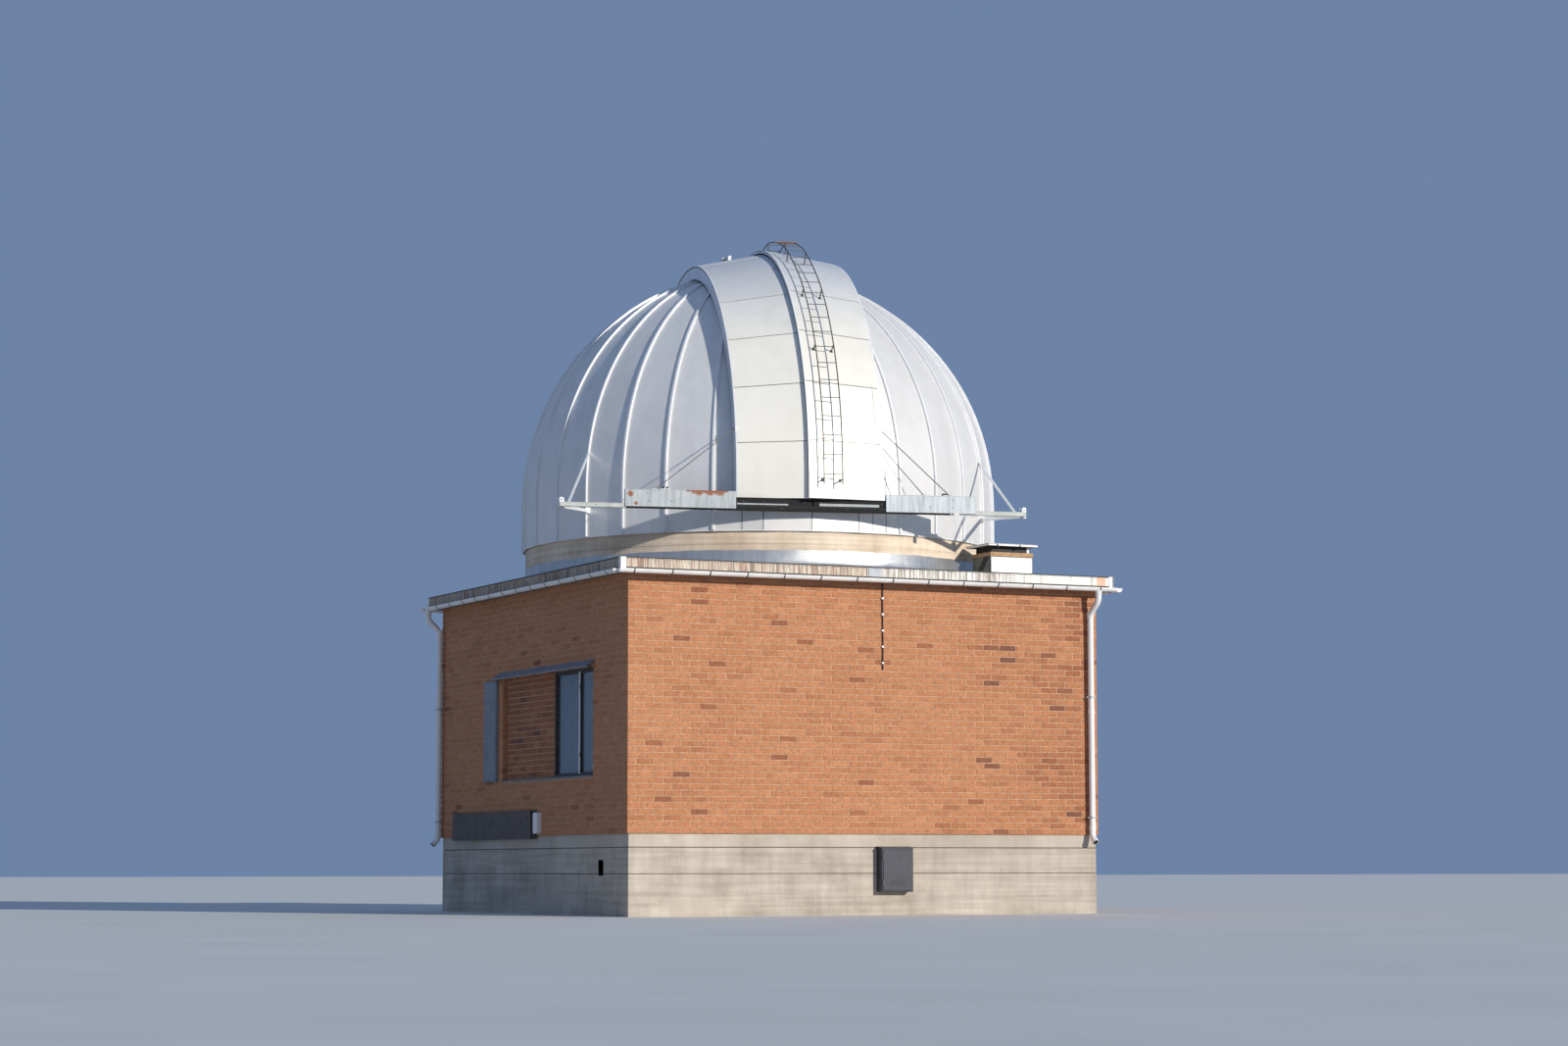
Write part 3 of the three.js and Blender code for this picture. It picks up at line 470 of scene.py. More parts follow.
def cloth_finish():
    """Woven curtain, darker in upright bands: painted shade of its folds"""
    f = Finish("curtain_cloth", 0.95)
    weave = f.noise(60, detail=5, rough=0.6)
    fold_shade = f.ramp(f.noise(11, (1, 1, 0.03)), (0.38, 0.55), (0.6, 1.0))
    colour = f.ramp(weave, (0.3, (168, 180, 198)), (0.7, (204, 212, 224)))
    return f.done(f.shade(colour, fold_shade), weave)


def plain(name, dark, light, scale, roughness, metallic=0.0, bump=0.15, **inputs):
    """Mottled between two colours"""
    f = Finish(name, roughness, metallic, **inputs)
    cloud = f.noise(scale, detail=5, rough=0.6)
    return f.done(f.ramp(cloud, (0.3, dark), (0.7, light)), f.noise(scale * 6), bump)


# Painted shade for the shutters' tops: from 8.7 m up to 10.2 m the sheet is darkened and made bluer, standing
# for dimmer, sky-blue light on their upward faces
PAINTED_TOP_SHADE = (8.7, 10.2, (217.85, 224.61, 241.05))
RUST_SPOTS = [(-2.79, 6.196, 0.045), (-2.71, 6.058, 0.03)]
for i, radius in enumerate((0.035, 0.05, 0.075, 0.05, 0.085, 0.06, 0.08, 0.03)):
    RUST_SPOTS.append((-1.93 + 0.083 * i, 6.27, radius))
RUST_SPOTS = [(on_dome((x, -BOX_FACE, z)), radius) for x, z, radius in RUST_SPOTS]

BRICK = brick_finish()
MORTAR = mortar_finish()
BASE = concrete_finish("base_concrete", (169, 157, 142), (202, 191, 176), 14.0, 0.12)
DECK = concrete_finish("deck_concrete", (178, 165, 149), (198, 188, 174), 1.2, 0.08)
DRUM = concrete_finish("drum_concrete", (208, 185, 160), (242, 224, 200), 18.0, 0.1)
SKIN = painted_metal("dome_skin", (237, 235, 232), 0.93, 0.25, 0.42, runs=5)
# The side walls' sheet is a cooler, bluer grey than the shutters': its blue tint is a painted reflection of
# blue sky
FLANK = painted_metal("flank_sheet", (228, 232, 238), 0.95, 0.4, 0.34)
SHUTTER = painted_metal("shutter_skin", (244, 240, 229), 0.96, 0.1, 0.42, 0.74, 4, PAINTED_TOP_SHADE)
RIB = painted_metal("rib_metal", (236, 237, 238), 0.95, 0.1, 0.4)
LADDER_METAL = painted_metal("ladder_tube", (98, 95, 92), 0.86, 0.35, 0.5, 0.7)
ZINC = painted_metal("galvanised", (186, 190, 190), 0.86, 0.35, 0.5, 0.66)
RAIL = painted_metal("rail_paint", (190, 194, 188), 0.86, 0.15, 0.55, 0.66)
RUST = painted_metal("rusty_edge", (150, 122, 104), 0.75, 0.2, 0.75, 0.45)
BOX = painted_metal("box_sheet", (198, 204, 207), 0.7, 0.12, 0.5, 0.76, 26, spots=RUST_SPOTS)
WHITE = painted_metal("white_metal", (240, 238, 234), 0.9, 0.03, 0.45)
APRON = painted_metal("silver_coat", (206, 208, 210), 0.84, 0.75, 0.36, runs=22)
FASCIA = fascia_finish()
GREY = plain("grey_paint", (112, 118, 128), (134, 140, 150), 5, 0.55)
NAVY = plain("navy_paint", (24, 28, 42), (36, 42, 60), 6, 0.4)
# Painted shadow: dark lines beside seams and edges, and the lining under the shutters' sheets
SEAM_SHADOW = plain("seam_shadow", (70, 64, 60), (98, 90, 84), 30, 0.7)
# Painted shade: dark concrete for the core behind the base's grooves
GROOVE_SHADE = plain("groove_shade_concrete", (84, 77, 68), (112, 103, 92), 14, 0.95)
FRAME = plain("frame_paint", (44, 36, 34), (66, 54, 50), 10, 0.5)
FOOT = plain("foot_paint", (70, 62, 58), (96, 86, 80), 7, 0.6)
PATCHED = plain("patched_sheet", (214, 216, 217), (240, 241, 240), 7, 0.5, 0.1)
# Painted shadow: near-black steel for the rail and the beams where they lie in shade
PAINTED_SHADOW = plain("painted_shadow_steel", (7, 7, 8), (18, 17, 16), 20, 0.8)
OLD_SHEET = plain("old_sheet", (112, 114, 102), (150, 150, 136), 9, 0.6, 0.2)
DARK = plain("dark_metal", (30, 30, 32), (52, 50, 50), 20, 0.7)
BOLT = plain("bolt_steel", (70, 66, 62), (110, 104, 98), 60, 0.5, 0.6)
WOOD = plain("bare_wood", (158, 122, 88), (196, 162, 124), 12, 0.8)
ROOFING = plain("roof_felt", (92, 90, 86), (132, 128, 122), 9, 0.95, bump=0.4)
CLEAR = {"bump": 0.02, "Transmission_Weight": 0.85}
GLASS = plain("window_glass", (176, 190, 198), (196, 208, 214), 2, 0.05, **CLEAR)
CLOTH = cloth_finish()
RUBBER = plain("cable_rubber", (24, 24, 26), (44, 43, 43), 40, 0.7)


# Brickwork
def quarter(turns):
    """Carries a point of the front side round to another side"""
    c, s = ((1, 0), (0, 1), (-1, 0), (0, -1))[turns]
    return lambda x, y, z: (c * x - s * y, s * x + c * y, z)


def along_wall(side):
    """Places (u, v, z): u along a side from the corner that it starts at, v inwards"""
    turn = quarter(side)
    return lambda u, v, z: turn(u - HALF, v - HALF, z)


def round_hole(u0, u1, z0, z1, hole):
    """What a hole (from, to, low, high) leaves of a wall, as rectangles"""
    a, b, low, high = hole
    rest = [(u0, a, z0, z1), (b, u1, z0, z1)]
    if z0 < low:
        rest.append((a, b, z0, min(z1, low)))
    if z1 > high:
        rest.append((a, b, max(z0, high), z1))
    return rest


def brick_tint(x, z, side):
    """A few bricks are burnt dark, and those at the front's right end are darker"""
    tint = rng.gauss(0.56, 0.07)
    if rng.random() < 0.022:
        tint = rng.uniform(0.12, 0.34)
    if side == 0:
        tint -= 0.3 * max(0.0, (x - 1.6) / (HALF - 1.6)) * rng.uniform(0.3, 1.2)
    tint += 0.1 * noise.noise((x * 0.9, z * 0.9, side * 7.0))
    return min(max(tint, 0.0), 1.0)


def lay(run, u0, u1, z, depth, tint, face=0.0):
    """One brick, a little out of true"""
    out = face + rng.uniform(-OUT_OF_TRUE, OUT_OF_TRUE)
    e = rng.uniform(0.0, OUT_OF_TRUE)
    z += JOINT / 2
    box((u0 + e, out, z), (u1 - e, depth, z + BRICK_H - e), 0, 0.004, tint, run)


def brick_wall(side, hole=None):
    """One side's bricks. The last brick of each row is the end of the next side's first brick."""
    run = along_wall(side)
    length = 2 * HALF
    for row in range(COURSES):
        z = BASE_TOP + row * COURSE
        u, size, depth = (0.0, HALF_BRICK, BRICK_L) if row % 2 else (0.0, BRICK_L, HALF_BRICK)
        while u + size <= length - 0.01:
            end, parts, deep = u + size, [(u, u + size)], depth
            if hole and hole[2] - SLIVER < z + COURSE / 2 < hole[3]:
                parts = [(u, min(end, hole[0])), (max(u, hole[1]), end)]
                if end > hole[0] - 0.05 and u < hole[1] + 0.05:
                    deep = WALL_T - 0.02
            for p, q in parts:
                if q - p > SLIVER:
                    lay(run, p, q, z, deep, brick_tint(run(p, 0, 0)[0], z, side))
            u, size, depth = end + JOINT, BRICK_L, BRICK_DEEP
    back = WALL_T - 0.005
    start = back if side % 2 else MORTAR_BACK
    spans = [(start, length - start, BASE_TOP, WALL_TOP)]
    if hole:
        edges = (hole[0] - JOINT / 2, hole[1] + JOINT / 2, hole[2] - 0.005, hole[3])
        spans = round_hole(*spans[0], edges)
    for u0, u1, z0, z1 in spans:
        box((u0, MORTAR_BACK, z0), (u1, back, z1), 1, 0, 0.5, run)


WINDOW = (HALF - WINDOW_FAR, HALF - WINDOW_NEAR, SILL_Z, HEAD_Z)
LEFT_WALLS = ["wall_left_near", "wall_left_far", "wall_under_window", "wall_over_window"]
for side, name in enumerate(SIDES):
    brick_wall(side, WINDOW if name == "left" else None)
    nodes = LEFT_WALLS if name == "left" else ["wall_" + name]
    build("bricks_" + name, "brick", [BRICK, MORTAR], *nodes)

# The recessed brick pier that closes the far part of the window opening
run = along_wall(3)
u0, u1 = HALF - WINDOW_FAR, HALF - PIER_NEAR
for row in range(COURSES):
    z = BASE_TOP + row * COURSE
    u = u0 - (0 if row % 2 else PITCH / 2)
    while SILL_Z - SLIVER < z + COURSE / 2 < HEAD_Z and u < u1 - SLIVER:
        p, q = max(u, u0), min(u + BRICK_L, u1)
        if q - p > SLIVER:
            tint = max(brick_tint(0, z, 3) - 0.3, 0)
            lay(run, p, q, z, PIER_RECESS + BRICK_DEEP, tint, PIER_RECESS)
        u += PITCH
box((u0, PIER_RECESS + MORTAR_BACK, SILL_Z), (u1, PIER_RECESS + 0.12, HEAD_Z), 1, 0, 0.5, run)
build("bricks_window_pier", "brick", [BRICK, MORTAR], "window_pier")

# Base and floor deck. The last lift is the core behind the boards' grooves, painted dark as the shade in
# them.
VENT = (2.775, 2.975, 0.59, 0.82)
BOARD_LINE = 0.619
GROOVE = 0.012
LIFTS = [(0, BOARD_LINE - GROOVE / 2), (BOARD_LINE + GROOVE / 2, DECK_LOW - GROOVE), (0.02, DECK_LOW)]
inner = BASE_HALF - BASE_T
for side, (low, high) in product(range(4), LIFTS):
    face, kind = (BASE_HALF - 0.008, 1) if high == DECK_LOW else (BASE_HALF, 0)
    end = inner if side % 2 else face
    spans = [(-end, end, low, high)]
    if side == 3:
        spans = round_hole(*spans[0], VENT)
    for x0, x1, z0, z1 in spans:
        box((x0, -face, z0), (x1, -inner, z1), kind, 0, 0.5, quarter(side))
build("base_walls", "base_concrete", [BASE, GROOVE_SHADE], "base_front", "base_back", "base_left", "base_right")
box((-BASE_HALF, -BASE_HALF, DECK_LOW), (BASE_HALF, BASE_HALF, BASE_TOP), 0, 0.008)
build("floor_slab_edge", "base_concrete", [DECK], "floor_deck")

# Window frame
FRAME_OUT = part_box("window_frame")[0].x - AXIS.x
FRAME_IN = FRAME_OUT + 0.07
MULLION = -1.93


def bars(y0, y1, z0, z1, w, a, b):
    """A rectangle of bars, w wide and from a to b deep"""
    box((a, y0, z0), (b, y1, z0 + w), 0, 0.003)
    box((a, y0, z1 - w), (b, y1, z1), 0, 0.003)
    box((a, y0, z0 + w), (b, y0 + w, z1 - w), 0, 0.003, 0.55)
    box((a, y1 - w, z0 + w), (b, y1, z1 - w), 0, 0.003, 0.55)


def knob(start, out, necks, radii, kind=0):
    """A neck and then a rounded head, along out from the start"""
    places = [Vector(start) + Vector(out) * d for d in necks]
    tube(places[:2], radii[:2], 10, kind)
    tube(places[1:], radii[2:], 12, kind)


bars(WINDOW_NEAR, PIER_NEAR, SILL_Z, HEAD_Z, 0.043, FRAME_OUT, FRAME_IN)
box((FRAME_OUT + 0.004, MULLION - 0.02, SILL_Z + 0.04), (FRAME_IN, MULLION + 0.02, HEAD_Z - 0.04), 2, 0.003)
for y0, y1 in ((WINDOW_NEAR + 0.038, MULLION - 0.014), (MULLION + 0.014, PIER_NEAR - 0.038)):
    bars(y0, y1, SILL_Z + 0.038, HEAD_Z - 0.038, 0.03, FRAME_OUT + 0.012, FRAME_IN - 0.006)
for z, y in product((SILL_Z + 0.3, HEAD_Z - 0.3), (MULLION - 0.02, MULLION + 0.02)):
    stud((FRAME_OUT + 0.008, y, z), (0, 0, 0.06), 0.006, 1, 8)
place = (FRAME_OUT + 0.012, WINDOW_NEAR + 0.05, SILL_Z + 0.143)
knob(place, (-1, 0, 0), (0, 0.028, 0.036, 0.05), [0.012, 0.009, 0.012, 0.021, 0.014], 2)
build("window_frame_bars", "grey_paint", [FRAME, DARK, WHITE], "window_frame")

x = FRAME_IN - 0.03
for y0, y1 in ((WINDOW_NEAR + 0.06, MULLION - 0.03), (MULLION + 0.03, PIER_NEAR - 0.06)):
    box((x, y0, SILL_Z + 0.06), (x + 0.006, y1, HEAD_Z - 0.06), 0, FINE)
build("window_panes", "glass", [GLASS], "window_glass")


def curtain():
    """Hangs in folds behind the glass"""
    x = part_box("curtain")[0].x - AXIS.x + 0.03
    y0, y1 = WINDOW_NEAR + 0.02, PIER_NEAR - 0.02
    low, high = SILL_Z + 0.012, HEAD_Z - 0.004
    cols, rows, folds, thick = 330, 12, 15, 0.0012

    def at(t, z):
        k = (z - low) / (high - low)
        depth = 0.024 * (0.75 + 0.35 * noise.noise((t * 6, 0.3, k)))
        bend = 2 * pi * folds * t + 1.1 * noise.noise((t * 9, 1.7, k * 0.6))
        return x + depth * sin(bend), y0 + (y1 - y0) * t, z

    levels = [low + (high - low) * i / rows for i in range(rows + 1)]
    outer = [[at(j / cols, z) for j in range(cols + 1)] for z in levels]
    slab(outer, [[(px + thick, py, pz) for px, py, pz in row] for row in outer])
    piece = build("curtain_folds", "curtain_cloth", [CLOTH], "curtain", sharp=80)
    row = outer[rows // 2]
    width = sum((Vector(a) - Vector(b)).length for a, b in zip(row, row[1:]))


curtain()

# Window hood and sill
y0, y1 = WINDOW_NEAR - 0.06, WINDOW_FAR + 0.19
profile = [(0, 0.1), (-0.004, 0.1), (-0.004, 0.094), (-0.13, 0.004)]
profile += [(-0.13, -0.015), (-0.127, -0.015), (-0.127, 0), (0, 0.088)]
loft([[(x - HALF, y, z + HEAD_Z) for x, z in profile] for y in (y0, y1)])
for i in range(6):
    y = y0 + 0.12 + i * (y1 - y0 - 0.24) / 5
    box((-HALF - 0.09, y - 0.015, HEAD_Z + 0.012), (-HALF, y + 0.015, HEAD_Z + 0.022), 1)
    tube([(-HALF - 0.09, y, HEAD_Z + 0.02), (-HALF - 0.002, y, HEAD_Z - 0.03)], 0.006, 6, 1)
build("window_hood_sheet", "grey_paint", [GREY, DARK], "window_hood")

profile = [(-HALF - 0.03, -0.012), (-HALF - 0.03, 0.004), (FRAME_OUT, 0.018)]
profile += [(FRAME_OUT, 0.002), (-HALF - 0.024, 0), (-HALF - 0.024, -0.012)]
for ends, deepest in (
    ((WINDOW_NEAR + 0.004, PIER_NEAR), FRAME_OUT),
    ((PIER_NEAR, WINDOW_FAR - 0.004), -HALF + PIER_RECESS - 0.001),
):
    loft([[(min(x, deepest), y, SILL_Z + z) for x, z in profile] for y in ends])
build("window_sill_sheet", "grey_paint", [GREY], "window_sill")

# Panels on the left side: flat boxes, each with a raised plate and its screws
for name, node, slot, screws, material in (
    ("side_panel_plate", "side_panel", "grey_paint", 4, GREY),
    ("wall_box_case", "wall_box", "white_metal", 2, WHITE),
):
    low, high = about(node)
    box((low.x + 0.006, low.y, low.z), high, 0, 0.004)
    rim = 0.022
    box((low.x, low.y + rim, low.z + rim), (low.x + 0.008, high.y - rim, high.z - rim), 0, 0.003, 0.62)
    for i, z in product(range(screws), (low.z + 0.012, high.z - 0.012)):
        y = low.y + 0.012 + i * (high.y - low.y - 0.024) / (screws - 1)
        stud((low.x + 0.008, y, z), (-0.005, 0, 0), 0.006)
    build(name, slot, [material, BOLT], node)

low, high = about("foot_panel")
for y0, y1 in ((low.y, 1.2), (1.206, 2.24), (2.246, high.y)):
    box((low.x, y0, low.z), (high.x, y1, high.z), 0, 0.003, rng.uniform(0.4, 0.6))
    for y, z in product((y0 + 0.04, y1 - 0.04), (low.z + 0.04, high.z - 0.04)):
        stud((low.x + 0.002, y, z), (-0.005, 0, 0), 0.007)
box((high.x - 0.012, -0.38, low.z), (high.x, low.y - 0.002, high.z), 2)
build("foot_panel_plates", "grey_paint", [FOOT, BOLT, DARK], "foot_panel")


# Roof edge
def side_loft(run, profile, ends, kind=0, tint=0.5):
    """A profile of (distance out, height) drawn along one side; None at an end mitres it there"""
    loops = []
    for u, sign in zip(ends, (-1, 1)):
        loops.append([run(sign * r if u is None else u, -r, z) for r, z in profile])
    loft(loops, kind, tint)


SHEET_ENDS = [None, -2.35, -0.1, 2.05, None]
low, high = WALL_TOP, FASCIA_TOP
for side in range(4):
    run = quarter(side)
    for i in range(4):
        out = EDGE - (i % 2) * 0.0015
        profile = [(EDGE - 0.024, high - 0.008), (EDGE - 0.02, high), (EDGE - 0.004, high)]
        profile += [(out, high - 0.006), (out, high - 0.022), (out - 0.005, high - 0.028)]
        profile += [(out - 0.005, low + 0.03), (out, low + 0.004), (out - 0.002, low), (EDGE - 0.024, low)]
        side_loft(run, profile, SHEET_ENDS[i : i + 2], 0, rng.uniform(0.35, 0.7))
    # Two dark strips along each side: one at the top edge, and one at the fascia's foot behind the gutter,
    # painted as the shadow in the gap there
    for r, z0, z1 in ((0.026, high - 0.014, high + 0.002), (0.02, GUTTER_Z, GUTTER_Z + 0.03)):
        inner, outer = EDGE - r, EDGE + 0.001
        side_loft(run, [(inner, z0), (inner, z1), (outer, z1), (outer, z0)], (None, None), 2)
    for u in SHEET_ENDS[1:-1]:
        box((u - 0.02, -EDGE - 0.0005, low), (u + 0.001, -EDGE + 0.02, high - 0.03), 0, FINE, 0.3, run)
    corner = -EDGE - 0.002
    box((corner, corner, low), (-EDGE + 0.085, -EDGE + 0.02, high), 1, THIN, 0.7, run)
    box((corner, -EDGE, low), (-EDGE + 0.02, -EDGE + 0.085, high), 1, THIN, 0.7, run)
build("roof_edge_sheet", "edge_metal", [FASCIA, WHITE, DARK], "roof_fascia")

# Gutters
GUTTER_BODY = GUTTER_R - 0.004
GUTTER_OUT = EDGE + GUTTER_R


def half_round(outer, inner=None):
    """The section of a trough or strap between two radii, or of a half disc"""
    turn = [pi + pi * i / 14 for i in range(15)]
    arc = lambda r: [(GUTTER_OUT - r * cos(a), GUTTER_Z - 0.003 + r * sin(a)) for a in turn]
    return arc(outer) + (arc(inner)[::-1] if inner else [])


x0, x1 = -GUTTER_OUT, EDGE
for side, name in enumerate(SIDES):
    run = quarter(side)
    joints = [x0 + 0.004, -2.1, 0.1, 2.2, x1 - 0.004]
    for ends in zip(joints, joints[1:]):
        side_loft(run, half_round(GUTTER_BODY, GUTTER_BODY - 0.003), ends, 0, rng.uniform(0.45, 0.6))
    for x in joints[1:-1]:
        side_loft(run, half_round(GUTTER_BODY + 0.002, GUTTER_BODY), (x - 0.03, x + 0.03), 0, 0.4)
    bead = GUTTER_OUT + GUTTER_BODY - 0.004
    tube([run(x, -bead, GUTTER_Z - 0.007) for x in (x0, x1)], 0.0065)
    for x in (x0 + 0.002, x1 - 0.004):
        side_loft(run, half_round(GUTTER_BODY + 0.001), (x, x + 0.002))
    x = x0 + 0.235
    while x < x1:
        a, b = x - 0.009, x + 0.009
        side_loft(run, half_round(GUTTER_R - 0.0005, GUTTER_BODY + 0.0005), (a, b), 1, 0.4)
        outer = -GUTTER_OUT - GUTTER_BODY
        box((a, outer, GUTTER_Z - 0.004), (b, -EDGE, GUTTER_Z), 1, 0, 0.4, run)
        x += 0.6
    build("gutter_trough_" + name, "white_metal", [WHITE, DARK], "gutter_" + name)

# Downpipes
PIPE_R = 0.047


def rounded(path, radius, steps=5):
    """A path with its bends rounded off"""
    path = [Vector(p) for p in path]
    made = [path[0]]
    for before, p, after in zip(path, path[1:], path[2:]):
        a, b = before - p, after - p
        cut = min(radius, a.length * 0.45, b.length * 0.45)
        a, b = p + a.normalized() * cut, p + b.normalized() * cut
        for i in range(steps + 1):
            t = i / steps
            made.append(a.lerp(p, t).lerp(p.lerp(b, t), t))
    return made + [path[-1]]


def downpipe(name, node, swap, outlet_at, along):
    """From the gutter down the front wall, or down the left one with x and y swapped"""
    out, top = HALF + 0.078, GUTTER_Z - GUTTER_R

    def pipe(path, radius, kind=0, tint=0.5, sides=20):
        tube([(p[1], p[0], p[2]) if swap else p for p in path], radius, sides, kind, tint)

    path = rounded(
        [
            (outlet_at, -GUTTER_OUT, top + 0.01),
            (outlet_at, -GUTTER_OUT, top - 0.15),
            (along, -out, top - 0.34),
            (along, -out, BASE_TOP - 0.02),
            (along, -out - 0.09, BASE_TOP - 0.11),
        ],
        0.1,
    )
    pipe(path, PIPE_R)
    funnel = [(outlet_at, -GUTTER_OUT, z) for z in (top + 0.012, top - 0.05)]
    pipe(funnel, [PIPE_R + 0.008, PIPE_R + 0.004], 0, 0.4)
    for z in (top - 0.4, 3.05, BASE_TOP + 0.06):
        pipe([(along, -out, z), (along, -out, z + 0.09)], PIPE_R + 0.005, 0, 0.62)
    for z in (3.3, 1.45):
        pipe([(along, -out, z), (along, -out, z + 0.028)], PIPE_R + 0.007, 1)
        z += 0.014
        pipe([(along, -out, z), (along, -HALF + 0.02, z)], 0.008, 1, 0.5, 8)
        for d in (-1, 1):
            x, y = along + d * (PIPE_R + 0.006), -out + 0.004
            pipe([(x, y, z), (x + d * 0.022, y, z)], 0.011, 1, 0.5, 6)
    foot = path[-1]
    slope = (foot - path[-2]).normalized()
    pipe([foot - slope * 0.02, foot + slope * 0.004], PIPE_R + 0.004, 0, 0.4)
    # A dark disc just inside the pipe's mouth: painted shade in its hollow
    pipe([foot + slope * 0.003, foot + slope * 0.0055], PIPE_R - 0.004, 2)
    build(name, "white_metal", [WHITE, ZINC, DARK], node)


downpipe("downpipe_at_front", "downpipe_front", False, HALF - 0.11, HALF - 0.15)
downpipe("downpipe_at_left", "downpipe_left", True, HALF - 0.03, HALF - 0.08)

# Roof vent
low, high = about("roof_vent_box")
box(low, (high.x, high.y, high.z - 0.032), 0, 0.004)
box((low.x + 0.012, low.y - 0.003, low.z + 0.012), (high.x - 0.012, low.y + 0.01, high.z - 0.042), 4)
rim = high + Vector((0.006, 0.006, 0.034))
box((low.x - 0.006, low.y - 0.008, high.z - 0.032), rim, 1, 0.004)
for x in (low.x + 0.03, high.x - 0.03):
    stud((x, low.y - 0.004, low.z + 0.03), (0, 0.008, 0), 0.008, 2)
# A bent offcut of sheet leans on the left face
wedge = [(low.x - 0.16, low.z), (low.x - 0.002, high.z - 0.02), (low.x - 0.002, low.z)]
loft([[(x, y, z) for x, z in wedge] for y in (low.y + 0.02, low.y + 0.2)], 3)
build("roof_vent_case", "white_metal", [OLD_SHEET, WOOD, BOLT, DARK, PATCHED], "roof_vent_box")

(x0, y0, _), (x1, y1, top) = about("roof_vent_lid")
under = top - 0.034
box((x0, y0, top - 0.012), (x1, y1, top), 0, 0.003, 0.55)
for a, b, c, d in (
    (x0, y0, x1, y0 + 0.004),
    (x0, y1 - 0.004, x1, y1),
    (x0, y0, x0 + 0.004, y1),
    (x1 - 0.004, y0, x1, y1),
):
    box((a, b, under), (c, d, top - 0.004), 0, 0, 0.6)
box((x0 + 0.06, y0 + 0.06, top - 0.028), (x1 - 0.06, y1 - 0.06, top - 0.012), 2, 0)
# A dark screen closes the gap under the lid, between four posts; its dark colour is painted shade of the gap
z0, z1 = high.z + 0.036, top - 0.028
box((low.x + 0.05, low.y + 0.05, z0), (high.x - 0.05, high.y - 0.05, z1), 1)
for x, kind in ((low.x + 0.04, 1), (high.x - 0.08, 0)):
    for y in (low.y + 0.04, high.y - 0.08):
        box((x, y, z0), (x + 0.04, y + 0.04, z1), kind)
for x in (low.x + 0.09, high.x - 0.25):
    radii = [0.012, 0.008, 0.014, 0.024, 0.016]
    knob((x, y0 + 0.004, under + 0.01), (0, -1, 0), (0, 0.016, 0.024, 0.044), radii)
build("roof_vent_cover", "white_metal", [WHITE, DARK, WOOD], "roof_vent_lid")

# Cabinet on the base
low, high = about("base_cabinet")
box((low.x, low.y + 0.012, low.z), (high.x, high.y, high.z - 0.02), 0, 0.006)
profile = [(low.y, high.z - 0.02), (low.y, high.z - 0.014), (high.y, high.z), (high.y, high.z - 0.02)]
loft([[(x, y, z) for y, z in profile] for x in (low.x - 0.012, high.x + 0.012)])
x0, z0, x1, z1 = low.x + 0.02, low.z + 0.02, high.x - 0.02, high.z - 0.05
box((x0, low.y, z0), (x1, low.y + 0.014, z1), 0, 0.004, 0.6)
for z in (z0 + 0.08, z1 - 0.14):
    stud((x0 - 0.004, low.y + 0.004, z), (0, 0, 0.07), 0.008, 1, 8)
stud((x1 - 0.04, low.y + 0.002, (z0 + z1) / 2), (0, -0.01, 0), 0.014, 1, 12)
for i in range(5):
    z = z0 + 0.07 + i * 0.02
    box((x0 + 0.12, low.y - 0.004, z), (x1 - 0.12, low.y + 0.002, z + 0.007), 0, FINE, 0.4)
build("cabinet_case", "navy_metal", [NAVY, BOLT], "base_cabinet")

# Cable over the front, on five clips
CABLE_X = 0.206
levels = [3.65 + i * 0.0665 for i in range(21)]
tube([(CABLE_X + 0.002 * sin(z * 5.1), -HALF - 0.017, z) for z in levels], 0.009)
for i in range(5):
    z = 3.74 + 0.243 * i
    box((CABLE_X - 0.02, -HALF - 0.03, z), (CABLE_X + 0.02, -HALF + 0.002, z + 0.03), 1, 0.004, 0.6)
    stud((CABLE_X + 0.013, -HALF - 0.03, z + 0.015), (0, -0.004, 0), 0.004, 2)
build("cable_on_front", "cable", [RUBBER, WHITE, BOLT], "wall_cable")

# Drum
nodes = ["drum_front_right", "drum_back_right", "drum_back_left", "drum_front_left"]
outline = [(DRUM_R - DRUM_T, DRUM_TOP), (DRUM_R - DRUM_T, ROOF_TOP), (DRUM_R, ROOF_TOP)]
groove = [(0, -0.005), (-0.006, -0.003), (-0.006, 0.003), (0, 0.005)]
for up in (0.2, 0.385, 0.56):
    outline += [(DRUM_R + r, ROOF_TOP + up + z) for r, z in groove]
outline += [(DRUM_R, DRUM_TOP - 0.008), (DRUM_R - 0.008, DRUM_TOP)]
loft([[around(r, 2 * pi * i / 128, z) for r, z in outline] for i in range(128)], closed=True)
build("drum_wall", "drum_concrete", [DRUM], *nodes)

# The sheet round the drum's foot, beaten into place by hand
loops = []
for i in range(256):
    a = 2 * pi * i / 256
    wavy = lambda times, z: noise.noise((sin(a) * times, cos(a) * times, z))
    n, fine = wavy(9, 0.4), wavy(34, 2.0)
    outline = [
        (0, 0),
        (0.15 + 0.02 * wavy(6, 5), 0),
        (0.15 + 0.02 * wavy(6, 5), 0.004),
        (0.055 + 0.018 * wavy(14, 8), 0.035 + 0.01 * fine),
        (0.016, 0.11 + 0.02 * n),
        (0.007 + 0.003 * fine, 0.19),
        (0.005, 0.275 + 0.02 * cos(a + 0.35) + 0.008 * n + 0.01 * fine),
        (0, 0.275 + 0.02 * cos(a + 0.35) + 0.008 * n + 0.01 * fine),
    ]
    loops.append([around(DRUM_R + 0.001 + r, a, ROOF_TOP + z) for r, z in outline])
loft(loops, closed=True)
build("drum_foot_sheet", "galvanised", [APRON], "drum_flashing", sharp=60)


# Dome
def rib_angle(k):
    return radians(BAY) * k


def rows_up(bottom, top_deg, step):
    """(radius, height) pairs from the skirt's bottom up over the dome"""
    rows = [(DOME_R, bottom), (DOME_R, (bottom + CENTRE_Z) / 2), (DOME_R, CENTRE_Z)]
    count = round(top_deg / step)
    for i in range(1, count + 1):
        e = radians(top_deg * i / count)
        rows.append((DOME_R * cos(e), CENTRE_Z + DOME_R * sin(e)))
    return rows


